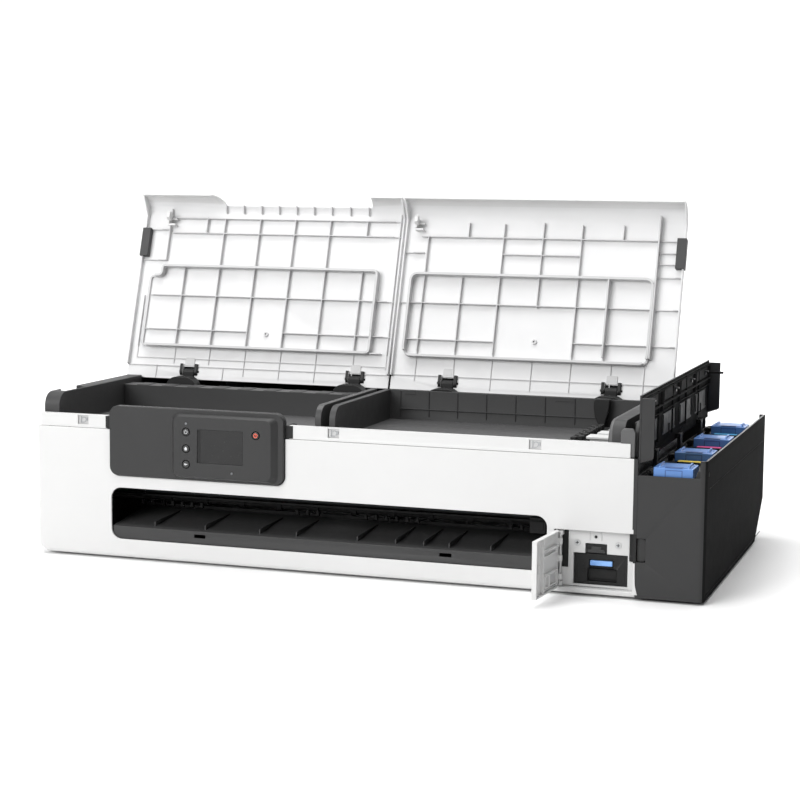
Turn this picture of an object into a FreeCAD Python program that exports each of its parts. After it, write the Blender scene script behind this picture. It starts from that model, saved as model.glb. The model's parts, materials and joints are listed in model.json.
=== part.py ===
import FreeCAD, Part
import math
import os
import Sketcher

# Large format plotter on its own feet: a long white and charcoal case with two tipped-up lids,
# an ink tank housing on its right end and a roll bay behind.
#
# Lengths are in mm and angles in degrees. Every place is counted from the machine's datum: x from
# the left end, y from the front face towards the back, z from the surface that the feet stand on.
# Each sub-part's Placement then carries it to the frame origin, the middle of the whole footprint.

doc = FreeCAD.newDocument("large_format_plotter")
sheet = doc.addObject("Spreadsheet::Sheet", "Dims")

DIMENSIONS = {
    # whole machine
    "body_w": 968, "body_d": 525, "skin": 3, "lift": 3, "pan_top": 10.5, "main_w": 877, "origin_x": 484,
    "origin_y": 215.83,
    # front cover, its paper slot and the white strip along its top
    "front_d": 30, "seam_z": 187, "front_edge": 6, "front_corner": 18,
    "slot_x": 118.5, "slot_end": 758, "slot_z": 30, "slot_top": 104, "slot_corner": 15,
    "strip_x": 6, "strip_end": 867, "strip_y": 2, "strip_top": 206, "strip_d": 9,
    "catch_w": 17, "catch_z": 192, "catch_a": 65, "catch_b": 447, "catch_c": 731,
    # control panel
    "panel_x": 118.5, "panel_end": 384.5, "panel_z": 122, "panel_top": 222, "panel_corner": 13,
    "panel_proud": 5, "panel_back": 8, "face_x": 220, "face_end": 373, "face_z": 127,
    "face_top": 214, "face_proud": 13, "lcd_x": 262.5, "lcd_end": 326.5, "lcd_z": 149, "lcd_top": 195,
    "lcd_sink": 1.2, "key_rad": 4.9, "key_gap": 0.4, "key_proud": 0.6, "key_x": 241.3,
    "power_z": 191.2, "home_z": 167.6, "back_z": 145.6, "stop_x": 346.6, "stop_z": 191.4,
    # maintenance opening, door and cartridge at the lower right of the front
    "bay_x": 768, "bay_z": 11, "bay_top": 88, "bay_sink": 11, "door_w": 103, "door_z": 11.5,
    "door_top": 87.4, "door_thick": 2.6, "door_rim": 7, "door_pin_x": 775.2, "door_pin_y": 4.5,
    "door_open": 95, "cart_x": 792, "cart_end": 865, "cart_z": 14.5, "cart_top": 56.6,
    "cart_back": 118, "cart_gap": 0.6,
    # side walls of the two storage bays and the lids above them
    "bay_floor": 187, "wall_top": 234, "wall_front": 12.5, "wall_back": 246, "wall_curve": 20,
    "band_x": 6, "band_w": 24, "rib_a": 424, "rib_b": 445, "rib_w": 9, "edge_x": 840,
    "edge_w": 17, "end_x": 864, "end_w": 11.5,
    "hinge_y": 288, "hinge_z": 241, "lid_open": 108.1, "lid_len": 279, "lid_thick": 2.7,
    "lid_curl": 28, "lid_lip": 34.5, "lid_side": 10, "lid_a": 2, "lid_a_w": 435, "lid_b": 440,
    "lid_b_w": 429.5, "lid_pin": 3, "lid_ear": 7, "ear_w": 5, "fit": 0.05, "tower_w": 18,
    "lid_tail": 12.4, "grip_near": 183, "grip_far": 229,
    "guard_reach": 16.5, "guard_top": 236.5,
    # ink housing, its deck, tanks, caps and cover
    "ink_x": 877, "ink_front": 166, "ink_side": 189, "ink_round": 8, "ink_slope_y": 450,
    "ink_slope_z": 60, "deck_z": 160, "deck_thick": 3, "tank_pitch": 129.5, "tank_z": 90,
    "cap_pitch": 148, "cap_y": 6, "cap_d": 42, "cap_x": 897, "cap_w": 52, "cap_top": 177,
    "cap_pin_x": 889, "cap_pin_z": 169, "cover_pin_x": 884, "cover_pin_z": 186.5,
    "cover_face": 877.6, "cover_top": 270, "cover_flange": 20, "cover_thick": 2.6,
    # paper path
    "tray_lip": 50, "tray_back": 112, "tray_rise": 60, "paper_z": 64, "platen_y": 114,
    "platen_back": 200, "feed_rad": 12, "feed_y": 222, "pinch_rad": 6, "exit_rad": 6.5,
    "exit_y": 122, "shaft_rad": 4, "roll_a": 130, "roll_b": 750, "frame_a": 34, "frame_b": 869,
    "frame_thick": 3,
    # carriage, its rail, belt and pulleys
    "rail_y": 196, "rail_d": 12, "rail_z": 118, "rail_top": 146, "car_x": 774, "car_w": 80,
    "car_y": 124, "car_back": 190, "car_z": 82, "car_top": 168, "head_z": 68, "belt_y": 198,
    "belt_w": 8, "belt_z": 160, "pulley_rad": 8, "belt_thick": 1.4, "pulley_a": 66,
    "pulley_b": 840,
    # gear train and drive
    "gear_mod": 1, "gear_teeth": 64, "pinion_teeth": 16, "gear_w": 8, "gear_x": 790,
    # roll bay behind the lids
    "roll_y": 415, "roll_z": 165, "spindle_rad": 10, "flange_rad": 58, "flange_w": 8,
    "dome_x": 50, "dome_end": 806, "rear_y": 312, "rear_top": 236, "cover_peak": 285,
    "roll_pin_y": 513, "roll_pin_z": 243,
}

for row, (alias, number) in enumerate(DIMENSIONS.items(), start=1):
    sheet.set("A%d" % row, alias)
    sheet.set("B%d" % row, str(number))
    sheet.setAlias("B%d" % row, alias)
doc.recompute()


class Size:
    """A length of the model: its number and the sheet formula that gives it."""

    def __init__(self, number, text):
        self.number = float(number)
        self.text = text

    def __add__(self, other):
        other = size(other)
        return Size(self.number + other.number, "(%s + %s)" % (self.text, other.text))

    def __sub__(self, other):
        other = size(other)
        return Size(self.number - other.number, "(%s - %s)" % (self.text, other.text))

    def __mul__(self, other):
        other = size(other)
        return Size(self.number * other.number, "(%s * %s)" % (self.text, other.text))

    def __truediv__(self, other):
        other = size(other)
        return Size(self.number / other.number, "(%s / %s)" % (self.text, other.text))

    def __radd__(self, other):
        return size(other) + self

    def __rsub__(self, other):
        return size(other) - self

    def __rmul__(self, other):
        return size(other) * self

    def __neg__(self):
        return Size(-self.number, "(-%s)" % self.text)


def size(value):
    """Any plain number or Size, as a Size."""
    if isinstance(value, Size):
        return value
    return Size(value, repr(float(value)))


class Dimensions:
    """The sheet's cells by name, as sizes."""

    def __getattr__(self, alias):
        return Size(DIMENSIONS[alias], "Dims." + alias)


d = Dimensions()
AXES = "xyz"
subparts = []
places = {}


def vector(point):
    return FreeCAD.Vector(*(size(value).number for value in point))


def move(obj, point):
    """Bind an object's place to the sheet."""
    for axis, value in zip(AXES, point):
        obj.setExpression("Placement.Base." + axis, size(value).text)
    places[obj.Name] = point


def box(name, low, high):
    """A block between two opposite corners."""
    obj = doc.addObject("Part::Box", name)
    for prop, start, end in zip(("Length", "Width", "Height"), low, high):
        obj.setExpression(prop, (size(end) - size(start)).text)
    move(obj, low)
    return obj


TURNS = {
    "x": FreeCAD.Rotation(FreeCAD.Vector(0, 1, 0), 90),
    "y": FreeCAD.Rotation(FreeCAD.Vector(1, 0, 0), -90),
    "z": FreeCAD.Rotation(),
}


def rod(name, axis, start, length, radius):
    """A cylinder that runs from a point along +x, +y or +z."""
    obj = doc.addObject("Part::Cylinder", name)
    obj.setExpression("Radius", size(radius).text)
    obj.setExpression("Height", size(length).text)
    obj.Placement = FreeCAD.Placement(vector(start), TURNS[axis])
    move(obj, start)
    return obj


def fuse(name, *shapes):
    obj = doc.addObject("Part::MultiFuse", name)
    obj.Shapes = list(shapes)
    obj.Refine = True
    return obj


def cut(name, base, *tools):
    obj = doc.addObject("Part::Cut", name)
    obj.Base = base
    obj.Tool = tools[0] if len(tools) == 1 else fuse(name + "_tools", *tools)
    obj.Refine = True
    return obj


def group(name, *shapes):
    """Separate solids that share one node."""
    obj = doc.addObject("Part::Compound", name)
    obj.Links = list(shapes)
    return obj


def edges_of(shape, test):
    """Names of the straight edges whose two ends pass a test."""
    names = []
    for index, edge in enumerate(shape.Edges, start=1):
        ends = [vertex.Point for vertex in edge.Vertexes]
        if len(ends) == 2 and test(ends[0], ends[1]):
            names.append("Edge%d" % index)
    return names


def corner_edges(shape, axis, spots):
    """Edges along an axis that pass through given places, told as values of the other axes."""
    def test(a, b):
        others = [name for name in AXES if name != axis]
        if abs(getattr(a, axis) - getattr(b, axis)) < 0.5:
            return False
        for spot in spots:
            near = (abs(getattr(end, name) - size(value).number) < 0.01
                    for end in (a, b) for name, value in zip(others, spot))
            if all(near):
                return True
        return False
    return edges_of(shape, test)


def round_edges(name, base, radius, axis, spots):
    """A Part fillet along chosen edges."""
    doc.recompute()
    found = corner_edges(base.Shape, axis, spots)
    if not found:
        raise ValueError("%s finds no edge to round" % name)
    obj = doc.addObject("Part::Fillet", name)
    obj.Base = base
    number = size(radius).number
    obj.Edges = [(int(edge[4:]), number, number) for edge in found]
    return obj


# Sketch planes of a body: its plane, the pad's own direction and the offset's sign.
PLANES = {"x": ("YZ_Plane", False, 1), "y": ("XZ_Plane", True, -1), "z": ("XY_Plane", False, 1)}


def new_body(name):
    return doc.addObject("PartDesign::Body", name)


def corner_arc(before, corner, after, radius):
    """Tangent points and arc centre at one rounded corner of an outline."""
    to_before = (before - corner).normalize()
    to_after = (after - corner).normalize()
    half = to_before.getAngle(to_after) / 2
    reach = radius / math.tan(half)
    middle = (to_before + to_after).normalize()
    centre = corner + middle * (radius / math.sin(half))
    return corner + to_before * reach, corner + to_after * reach, centre


def draw_outline(sketch, corners):
    """A closed outline whose corners are bound to the sheet; a third value rounds a corner."""
    points = [FreeCAD.Vector(size(c[0]).number, size(c[1]).number, 0) for c in corners]
    count = len(points)
    starts, ends, arcs = {}, {}, {}
    for i, corner in enumerate(corners):
        starts[i] = ends[i] = points[i]
        if len(corner) == 3:
            radius = size(corner[2]).number
            before, after = points[i - 1], points[(i + 1) % count]
            ends[i], starts[i], centre = corner_arc(before, points[i], after, radius)
            arcs[i] = (centre, radius)
    lines = [sketch.addGeometry(Part.LineSegment(starts[i], ends[(i + 1) % count]))
             for i in range(count)]
    for i, corner in enumerate(corners):
        into, out = lines[i - 1], lines[i]
        if i in arcs:
            spot = sketch.addGeometry(Part.Point(points[i]), True)
            pin_point(sketch, spot, corner)
            sketch.addConstraint(Sketcher.Constraint("PointOnObject", spot, 1, into))
            sketch.addConstraint(Sketcher.Constraint("PointOnObject", spot, 1, out))
            add_corner_arc(sketch, into, out, ends[i], starts[i], arcs[i], corner[2])
        else:
            sketch.addConstraint(Sketcher.Constraint("Coincident", into, 2, out, 1))
            pin_point(sketch, out, corner)


def pin_point(sketch, geometry, corner):
    """Hold a line's start, or a point, at a place given by the sheet."""
    for kind, value in zip(("DistanceX", "DistanceY"), corner):
        value = size(value)
        number = sketch.addConstraint(Sketcher.Constraint(kind, -1, 1, geometry, 1, value.number))
        sketch.setExpression("Constraints[%d]" % number, value.text)


def add_corner_arc(sketch, into, out, first, last, arc, radius):
    """The arc that joins two lines of an outline, tangent to both."""
    centre, number = arc
    ahead = first - centre
    behind = last - centre
    turn = ahead.x * behind.y - ahead.y * behind.x
    start, end = (ahead, behind) if turn > 0 else (behind, ahead)
    circle = Part.Circle(centre, FreeCAD.Vector(0, 0, 1), number)
    curve = Part.ArcOfCircle(circle, math.atan2(start.y, start.x), math.atan2(end.y, end.x))
    index = sketch.addGeometry(curve)
    near, far = (1, 2) if turn > 0 else (2, 1)
    sketch.addConstraint(Sketcher.Constraint("Tangent", index, near, into, 2))
    sketch.addConstraint(Sketcher.Constraint("Tangent", index, far, out, 1))
    bound = sketch.addConstraint(Sketcher.Constraint("Radius", index, number))
    sketch.setExpression("Constraints[%d]" % bound, size(radius).text)


def feature(body, kind, name, axis, low, high, corners):
    """A Pad or Pocket of an outline between two places along an axis."""
    role, flipped, sign = PLANES[axis]
    sketch = body.newObject("Sketcher::SketchObject", name + "_sketch")
    plane = [origin for origin in body.Origin.OriginFeatures if origin.Role == role][0]
    sketch.AttachmentSupport = [(plane, "")]
    sketch.MapMode = "FlatFace"
    sketch.setExpression("AttachmentOffset.Base.z", (size(low) * sign).text)
    draw_outline(sketch, corners)
    before = body.Shape.Volume if body.Tip else 0
    result = body.newObject("PartDesign::" + kind, name)
    result.Profile = sketch
    result.setExpression("Length", (size(high) - size(low)).text)
    result.Reversed = flipped if kind == "Pad" else not flipped
    doc.recompute()
    change = body.Shape.Volume - before
    if (kind == "Pad") != (change > 0):
        raise ValueError("%s changes the volume by %.1f" % (name, change))
    return result


def pad(body, name, axis, low, high, corners):
    return feature(body, "Pad", name, axis, low, high, corners)


def pocket(body, name, axis, low, high, corners):
    return feature(body, "Pocket", name, axis, low, high, corners)


def rect(x0, z0, x1, z1, radius=None):
    """A rectangle's corners, all rounded alike if a radius is given."""
    corners = [(x0, z0), (x1, z0), (x1, z1), (x0, z1)]
    if radius is None:
        return corners
    return [corner + (radius,) for corner in corners]


def prism(name, axis, low, high, corners):
    """A body that is one padded outline."""
    body = new_body(name)
    pad(body, name + "_pad", axis, low, high, corners)
    return body


def subpart(node, obj, place=None, turn=None):
    """Name a sub-part and carry it from the machine's datum to the frame origin."""
    if place is None:
        place = places.get(obj.Name, (0, 0, 0))
    if turn is not None:
        obj.Placement = FreeCAD.Placement(FreeCAD.Vector(), turn)
    x, y, z = (size(value) for value in place)
    move(obj, (x - d.origin_x, y - d.origin_y, z))
    obj.Label = node
    subparts.append((node, obj))
    return obj


# ---------------------------------------------------------------- base and outer case

def base_pan():
    """Shallow floor tray that carries everything, with two saddles for the roll spindle."""
    outer = box("pan_outer", (6, 32, d.lift), (873, 520, d.pan_top))
    inner = box("pan_inner", (6 + d.skin, 32 + d.skin, d.lift + d.skin),
                (873 - d.skin, 520 - d.skin, d.pan_top + 1))
    saddles = []
    for i, start in enumerate((101, 769)):
        post = box("saddle_post_%d" % i, (start, d.roll_y - 22, d.lift + d.skin - 1),
                   (start + 10, d.roll_y + 22, d.roll_z + 8))
        seat = rod("saddle_seat_%d" % i, "x", (start - 1, d.roll_y, d.roll_z), 12, d.spindle_rad + d.fit)
        way = box("saddle_way_%d" % i, (start - 1, d.roll_y - d.spindle_rad - d.fit, d.roll_z),
                  (start + 11, d.roll_y + d.spindle_rad + d.fit, 200))
        saddles.append(cut("saddle_%d" % i, post, seat, way))
    subpart("base_pan", fuse("base_pan", cut("pan_tray", outer, inner), *saddles))


def feet():
    """Six rubber pads, two of them under the ink housing."""
    spots = [(60, 60), (60, 480), (450, 60), (450, 480), (845, 60), (845, 480), (925, 60), (925, 420)]
    pads = [rod("foot_%d" % i, "z", (x, y, 0), d.lift, 11) for i, (x, y) in enumerate(spots)]
    subpart("rubber_feet", group("rubber_feet", *pads))


def front_cover():
    """White front shell: it wraps back at the left end and along the bottom."""
    body = new_body("front_cover")
    low = d.lift + 0.5
    pad(body, "front_block", "y", 0, d.front_d,
        [(0, low, d.front_corner), (d.main_w, low), (d.main_w, d.seam_z), (0, d.seam_z)])
    tip = body.Tip
    edge = body.newObject("PartDesign::Fillet", "front_rounding")
    edge.Base = (tip, corner_edges(tip.Shape, "x", [(0, low)]))
    edge.setExpression("Radius", d.front_edge.text)
    doc.recompute()
    inner = d.front_corner - d.skin
    pocket(body, "front_hollow", "y", d.skin, d.front_d + 1,
           [(d.skin, low + d.skin, inner), (d.main_w + 1, low + d.skin), (d.main_w + 1, d.seam_z + 1),
            (d.skin, d.seam_z + 1)])
    pocket(body, "paper_slot", "y", -1, d.front_d + 1,
           rect(d.slot_x, d.slot_z, d.slot_end, d.slot_top, d.slot_corner))
    gap = 0.6
    pocket(body, "panel_notch", "y", -1, d.front_d + 1,
           [(d.panel_x - gap, d.panel_z - gap, d.panel_corner),
            (d.panel_end + gap, d.panel_z - gap, d.panel_corner),
            (d.panel_end + gap, d.seam_z + 1), (d.panel_x - gap, d.seam_z + 1)])
    pocket(body, "maintenance_notch", "y", -1, d.front_d + 1,
           rect(d.bay_x, d.bay_z, d.main_w + 1, d.bay_top))
    subpart("front_cover", body)


def top_strip():
    """White strip above the seam, cut low behind the control panel, with three catch windows."""
    base = prism("strip_bar", "y", d.strip_y, d.strip_y + d.strip_d,
                 [(d.strip_x, d.seam_z + 0.4), (d.strip_end, d.seam_z + 0.4),
                  (d.strip_end, d.strip_top), (d.strip_x, d.strip_top)])
    x0, x1 = d.panel_x - 7, d.panel_end + 6
    saddle = box("strip_saddle", (x0, 0, d.seam_z + 3), (x1, 20, d.strip_top + 1))
    front = box("strip_front", (x0, 0, d.seam_z), (x1, d.panel_back + 0.2, d.strip_top + 1))
    windows = [box("catch_%d" % i, (x, d.strip_y - 1, d.catch_z),
                   (x + d.catch_w, d.strip_y + 3.5, d.strip_top - 1.2))
               for i, x in enumerate((d.catch_a, d.catch_b, d.catch_c))]
    subpart("top_strip", cut("top_strip", base, saddle, front, *windows))


def wall_outline(back):
    """Side view of a bay wall: rounded nose at the front, flat top."""
    return [(d.wall_front, d.bay_floor + 3), (back, d.bay_floor + 3), (back, d.wall_top),
            (d.wall_front, d.wall_top, d.wall_curve)]


def left_side_cover():
    """Charcoal end panel whose top turns inwards as a broad band beside the left bay."""
    wall = box("left_wall", (0, d.front_d + 0.4, 5), (d.skin, d.body_d - 3.4, 228))
    crest = box("left_crest", (0, 300, 228), (d.skin, d.body_d - 3.4, d.rear_top))
    shelf = box("left_shelf", (d.skin, d.front_d + 0.4, d.bay_floor),
                (d.band_x + d.band_w, d.wall_back + 38, d.bay_floor + 3))
    band = prism("left_band", "x", d.band_x, d.band_x + d.band_w, wall_outline(d.wall_back + 33))
    well = box("left_well", (d.band_x + 3, 40, d.bay_floor + 6), (d.band_x + d.band_w - 3, 100, 240))
    lip_room = box("left_lip_room", (-1, 29, 222), (d.skin + 1, 37, 229))
    grip_room = box("left_grip_room", (4, 57, 227), (16.5, 108, 240))
    body = fuse("left_cover_body", wall, crest, shelf, band)
    subpart("left_side_cover", cut("left_side_cover", body, well, lip_room, grip_room))


def rear_cover():
    """Back wall and top deck round the roll bay opening, with the roll cover's hinge lugs."""
    outline = [(d.rear_y - 12, 228), (d.rear_y - 12, d.rear_top, 4), (d.body_d, d.rear_top, 16),
               (d.body_d, 5), (d.body_d - 3, 5), (d.body_d - 3, d.rear_top - 3, 13),
               (d.rear_y - 9, d.rear_top - 3), (d.rear_y - 9, 228)]
    shell = prism("rear_shell", "x", 3.4, d.main_w - 0.4, outline)
    mouth = box("roll_mouth", (60, d.rear_y + 8, 200), (796, 500, 300))
    inlet = box("inlet_hole", (779.5, 500, 39.5), (808.5, 530, 62.5))
    ports = box("port_hole", (719.5, 500, 39.5), (758.5, 530, 58.5))
    lugs = []
    for i, start in enumerate((131, 771)):
        lug = box("lug_%d" % i, (start, d.roll_pin_y - 4, d.rear_top - 1), (start + 8, d.roll_pin_y + 4,
                                                                           d.roll_pin_z + 4))
        pin = rod("lug_pin_%d" % i, "x", (start - 11, d.roll_pin_y, d.roll_pin_z), 12, 2)
        lugs.append(fuse("roll_lug_%d" % i, lug, pin))
    shell = cut("rear_shell_cut", shell, mouth, inlet, ports)
    subpart("rear_cover", fuse("rear_cover", shell, *lugs))


def roll_cover():
    """Domed cover over the roll bay, on two stub pins at its back edge."""
    low = d.rear_top + 0.4
    thick = 2.6
    outline = [(d.rear_y - 2, low), (d.rear_y - 2, d.cover_peak, 22), (508, d.cover_peak, 30),
               (508, low + 12),
               (508 - thick, low + 12), (508 - thick, d.cover_peak - thick, 30 - thick),
               (d.rear_y - 2 + thick, d.cover_peak - thick, 22 - thick), (d.rear_y - 2 + thick, low)]
    body = new_body("roll_cover")
    pad(body, "roll_dome", "x", d.dome_x, d.dome_end, outline)
    ends = [(d.rear_y - 2, low), (505, low), (508, low + 6), (508, d.cover_peak, 30),
            (d.rear_y - 2, d.cover_peak, 22)]
    for name, start in (("roll_end_a", d.dome_x), ("roll_end_b", d.dome_end - thick)):
        pad(body, name, "x", start, start + thick, ends)
    arms = []
    for i, start in enumerate((120, 760)):
        arms.append(box("roll_arm_%d" % i, (start, 500, d.roll_pin_z - 5), (start + 10, d.roll_pin_y, 262)))
        arms.append(rod("roll_eye_%d" % i, "x", (start, d.roll_pin_y, d.roll_pin_z), 10, 5))
    bore = rod("roll_bore", "x", (100, d.roll_pin_y, d.roll_pin_z), 700, 2 + d.fit)
    subpart("roll_cover", cut("roll_cover_bored", fuse("roll_cover_body", body, *arms), bore))


# ---------------------------------------------------------------- storage bays and lids

def left_bay_tray():
    """Left bay: floor, low beam at the back and the left half of the divider."""
    floor = box("left_floor", (d.band_x + d.band_w + 0.4, d.wall_front, d.bay_floor),
                (d.rib_a + d.rib_w, d.wall_back, d.bay_floor + 3))
    beam = box("left_beam", (d.band_x + d.band_w + 0.4, d.wall_back - 30, d.bay_floor + 3),
               (d.rib_a, d.wall_back, 226))
    hollow = box("beam_hollow", (40, d.wall_back - 27, d.bay_floor), (d.rib_a - 6, d.wall_back - 3, 223))
    rib = prism("divider_left", "x", d.rib_a, d.rib_a + d.rib_w, wall_outline(d.wall_back))
    subpart("left_bay_tray", cut("left_bay_tray", fuse("left_tray_body", floor, beam, rib), hollow))


def right_bay_tray():
    """Right bay: floor, back wall, right half of the divider and the broad right band."""
    floor = box("right_floor", (d.rib_b, d.wall_front, d.bay_floor),
                (d.edge_x + d.edge_w, d.wall_back, d.bay_floor + 3))
    back = box("right_back", (d.rib_b, d.wall_back - 3, d.bay_floor + 3),
               (d.edge_x + d.edge_w, d.wall_back, d.wall_top))
    rib = prism("divider_right", "x", d.rib_b, d.rib_b + d.rib_w, wall_outline(d.wall_back))
    band = prism("right_band", "x", d.edge_x, d.edge_x + d.edge_w, wall_outline(d.wall_back))
    subpart("right_bay_tray", fuse("right_bay_tray", floor, back, rib, band))


def right_end_wall():
    """Upright wall between the right bay and the ink housing."""
    outline = [(d.wall_front - 1, d.bay_floor), (279, d.bay_floor), (279, d.wall_top),
               (d.wall_front - 1, d.wall_top, d.wall_curve)]
    wall = prism("end_wall_block", "x", d.end_x, d.end_x + d.end_w, outline)
    seat = box("end_wall_seat", (d.end_x - 1, 10, 230), (d.end_x + 6.5, 290, 240))
    nose_room = box("end_wall_nose_room", (d.end_x - 1, 10, 205), (d.end_x + 6.5, 41, 240))
    grip_room = box("end_wall_grip_room", (d.end_x - 1, 57, 227), (d.end_x + 8.5, 108, 240))
    subpart("right_end_wall", cut("right_end_wall", wall, seat, nose_room, grip_room))


LID_TURN = FreeCAD.Rotation(FreeCAD.Vector(1, 0, 0), -DIMENSIONS["lid_open"])
HINGE_A = (99, 374)
HINGE_B = (521, 769)


def lid_outline():
    """Section of a lid laid shut, from its hinge line: flat top that curls down at the front."""
    inner = d.lid_curl - d.lid_thick
    return [(d.lid_tail, 0), (-d.lid_len, 0, d.lid_curl), (-d.lid_len, -d.lid_lip),
            (d.lid_thick - d.lid_len, -d.lid_lip), (d.lid_thick - d.lid_len, -d.lid_thick, inner),
            (d.lid_tail, -d.lid_thick)]


def lid(node, start, width, hinges, panel_cut):
    """One lid: curled sheet, two side flanges and a pair of ears at each hinge."""
    body = new_body(node + "_shell")
    pad(body, node + "_sheet", "x", 0, width, lid_outline())
    flange = [(-8, 0), (-d.lid_len, 0, d.lid_curl), (-d.lid_len, -d.lid_lip + 2),
              (d.lid_thick - d.lid_len, -d.lid_lip + 2), (d.lid_curl - d.lid_len, -d.lid_side),
              (-8, -d.lid_side)]
    for i, low in enumerate((size(0), width - 2.5)):
        pad(body, "%s_flange_%d" % (node, i), "x", low, low + 2.5, flange)
    ears = []
    for i, hinge in enumerate(hinges):
        for j, low in enumerate((hinge - start - d.ear_w - 0.6, hinge - start + d.tower_w + 0.6)):
            name = "%s_ear_%d%d" % (node, i, j)
            ears.append(rod(name, "x", (low, 0, 0), d.ear_w, d.lid_ear))
            ears.append(box(name + "_web", (low, -12, -d.lid_ear), (low + d.ear_w, 0, -1)))
    shell = fuse(node + "_body", body, *ears)
    tools = []
    for i, hinge in enumerate(hinges):
        tools.append(rod("%s_bore_%d" % (node, i), "x", (hinge - start - 7.5, 0, 0), d.tower_w + 15,
                         d.lid_pin + d.fit))
        tools.append(box("%s_tower_room_%d" % (node, i), (hinge - start - 0.6, -8, -4),
                         (hinge - start + d.tower_w + 0.6, d.lid_tail + 1, 1)))
    if panel_cut:
        left, right = d.panel_x - start, d.panel_end - start
        tools.append(prism(node + "_panel_cut", "y", -d.lid_len - 1, 14 - d.lid_len,
                           [(left + 2, -d.lid_lip - 1), (right + 1.5, -d.lid_lip - 1),
                            (right - 2.5, -9), (left + 19.5, -9)]))
    result = cut(node, shell, *tools)
    subpart(node, result, place=(start, d.hinge_y, d.hinge_z), turn=LID_TURN)


def lid_grip(node, start, edge, side):
    """Dark finger pad that wraps a lid's outer flange: outside, under it and back up inside."""
    near, far, wide = size(0) - d.grip_far, size(0) - d.grip_near, 12
    outer = box(node + "_outer", (min(edge, edge - side * 2), near, -12.6),
                (max(edge, edge - side * 2), far, -1))
    under = box(node + "_under", (min(edge, edge + side * wide), near, -12.6),
                (max(edge, edge + side * wide), far, -10.1))
    inner = box(node + "_inner", (min(edge + side * 2.7, edge + side * wide), near, -12.6),
                (max(edge + side * 2.7, edge + side * wide), far, -2.8))
    subpart(node, fuse(node, outer, under, inner), place=(start, d.hinge_y, d.hinge_z), turn=LID_TURN)


def lid_hinge_beam():
    """Cross beam behind the bays, with four towers whose pins carry the lids."""
    beam = box("beam", (d.frame_a + d.frame_thick, 254, 172), (d.frame_b, 298, d.bay_floor))
    under = box("beam_under", (45, 257, 171), (860, 295, 184))
    towers = []
    for i, start in enumerate(HINGE_A + HINGE_B):
        name = "tower_%d" % i
        post = box(name, (start, d.hinge_y - 6, d.bay_floor - 1), (start + d.tower_w, d.hinge_y + 6,
                                                                  d.hinge_z))
        crown = rod(name + "_crown", "x", (start, d.hinge_y, d.hinge_z), d.tower_w, 6)
        pin = rod(name + "_pin", "x", (start - 6, d.hinge_y, d.hinge_z), d.tower_w + 12, d.lid_pin)
        towers.append(fuse("hinge_%d" % i, post, crown, pin))
        low, high = start - d.guard_reach, start + d.tower_w + d.guard_reach
        profile = [(low, d.bay_floor - 1), (high, d.bay_floor - 1), (high, d.guard_top, 18),
                   (low, d.guard_top, 18)]
        towers.append(prism("guard_%d" % i, "y", 253.5, 274.5, profile))
    subpart("lid_hinge_beam", fuse("lid_hinge_beam", cut("beam_channel", beam, under), *towers))


def tube_clamp():
    """Clamp at the right of the bay that holds the flat ribbed ink tubes."""
    block = prism("clamp_block", "z", d.bay_floor + 3, d.bay_floor + 13,
                  [(772, 40), (838, 40), (838, 200), (790, 200), (772, 120)])
    tubes = [box("tube_%d" % i, (806, 60 + 32 * i, d.bay_floor + 12),
                 (838, 82 + 32 * i, d.bay_floor + 17)) for i in range(4)]
    subpart("ink_tube_clamp", fuse("ink_tube_clamp", block, *tubes))


# ---------------------------------------------------------------- control panel

def panel_bezel():
    """Charcoal panel that stands proud of the front, with a seat for the raised face."""
    body = new_body("panel_bezel")
    pad(body, "bezel_block", "y", -d.panel_proud, d.panel_back,
        rect(d.panel_x, d.panel_z, d.panel_end, d.panel_top, d.panel_corner))
    pocket(body, "bezel_seat", "y", -d.panel_proud - 1, 4,
           rect(d.face_x, d.face_z, d.face_end, d.face_top, 10))
    subpart("panel_bezel", body)


KEYS = {
    "power_button": (d.key_x, d.power_z), "home_button": (d.key_x, d.home_z),
    "back_button": (d.key_x, d.back_z), "stop_button": (d.stop_x, d.stop_z),
}


def panel_face():
    """Raised block that holds the screen and the keys."""
    body = new_body("face_block")
    pad(body, "face_pad", "y", -d.face_proud, 3.9,
        rect(d.face_x + 0.1, d.face_z + 0.1, d.face_end - 0.1, d.face_top - 0.1, 9.9))
    pocket(body, "screen_window", "y", -d.face_proud - 1, 2 - d.face_proud + d.lcd_sink,
           rect(d.lcd_x, d.lcd_z, d.lcd_end, d.lcd_top))
    holes = [rod(name + "_hole", "y", (x, -d.face_proud - 1, z), 6, d.key_rad + d.key_gap)
             for name, (x, z) in KEYS.items()]
    lamps = [rod("lamp_hole_%d" % i, "y", (x, -d.face_proud - 1, z), 3, 1.5)
             for i, (x, z) in enumerate(LAMPS)]
    subpart("panel_face", cut("panel_face", body, *holes, *lamps))


LAMPS = [(241.3, 202.7), (310.6, 136.5)]
SENSORS = (190, 345, 500)
SENSOR_Z = 92
GUIDE_Y = 100


def keys_and_lamps():
    """Four push keys, the screen and the two lamp windows."""
    for name, (x, z) in KEYS.items():
        key = rod(name, "y", (x, -d.face_proud - d.key_proud, z), 3.6, d.key_rad)
        subpart(name, key)
    screen = box("lcd_screen", (d.lcd_x, d.lcd_sink - d.face_proud, d.lcd_z),
                 (d.lcd_end, 2 - d.face_proud + d.lcd_sink, d.lcd_top))
    subpart("lcd_screen", screen)
    lamps = [rod("lamp_%d" % i, "y", (x, -d.face_proud - 0.1, z), 2.1, 1.5)
             for i, (x, z) in enumerate(LAMPS)]
    dots = [rod("dot_%d" % i, "y", (x, GUIDE_Y - 0.6, SENSOR_Z), 3.6, 2.6) for i, x in enumerate(SENSORS)]
    subpart("indicator_windows", group("indicator_windows", *lamps, *dots))


# ---------------------------------------------------------------- maintenance bay

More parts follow.
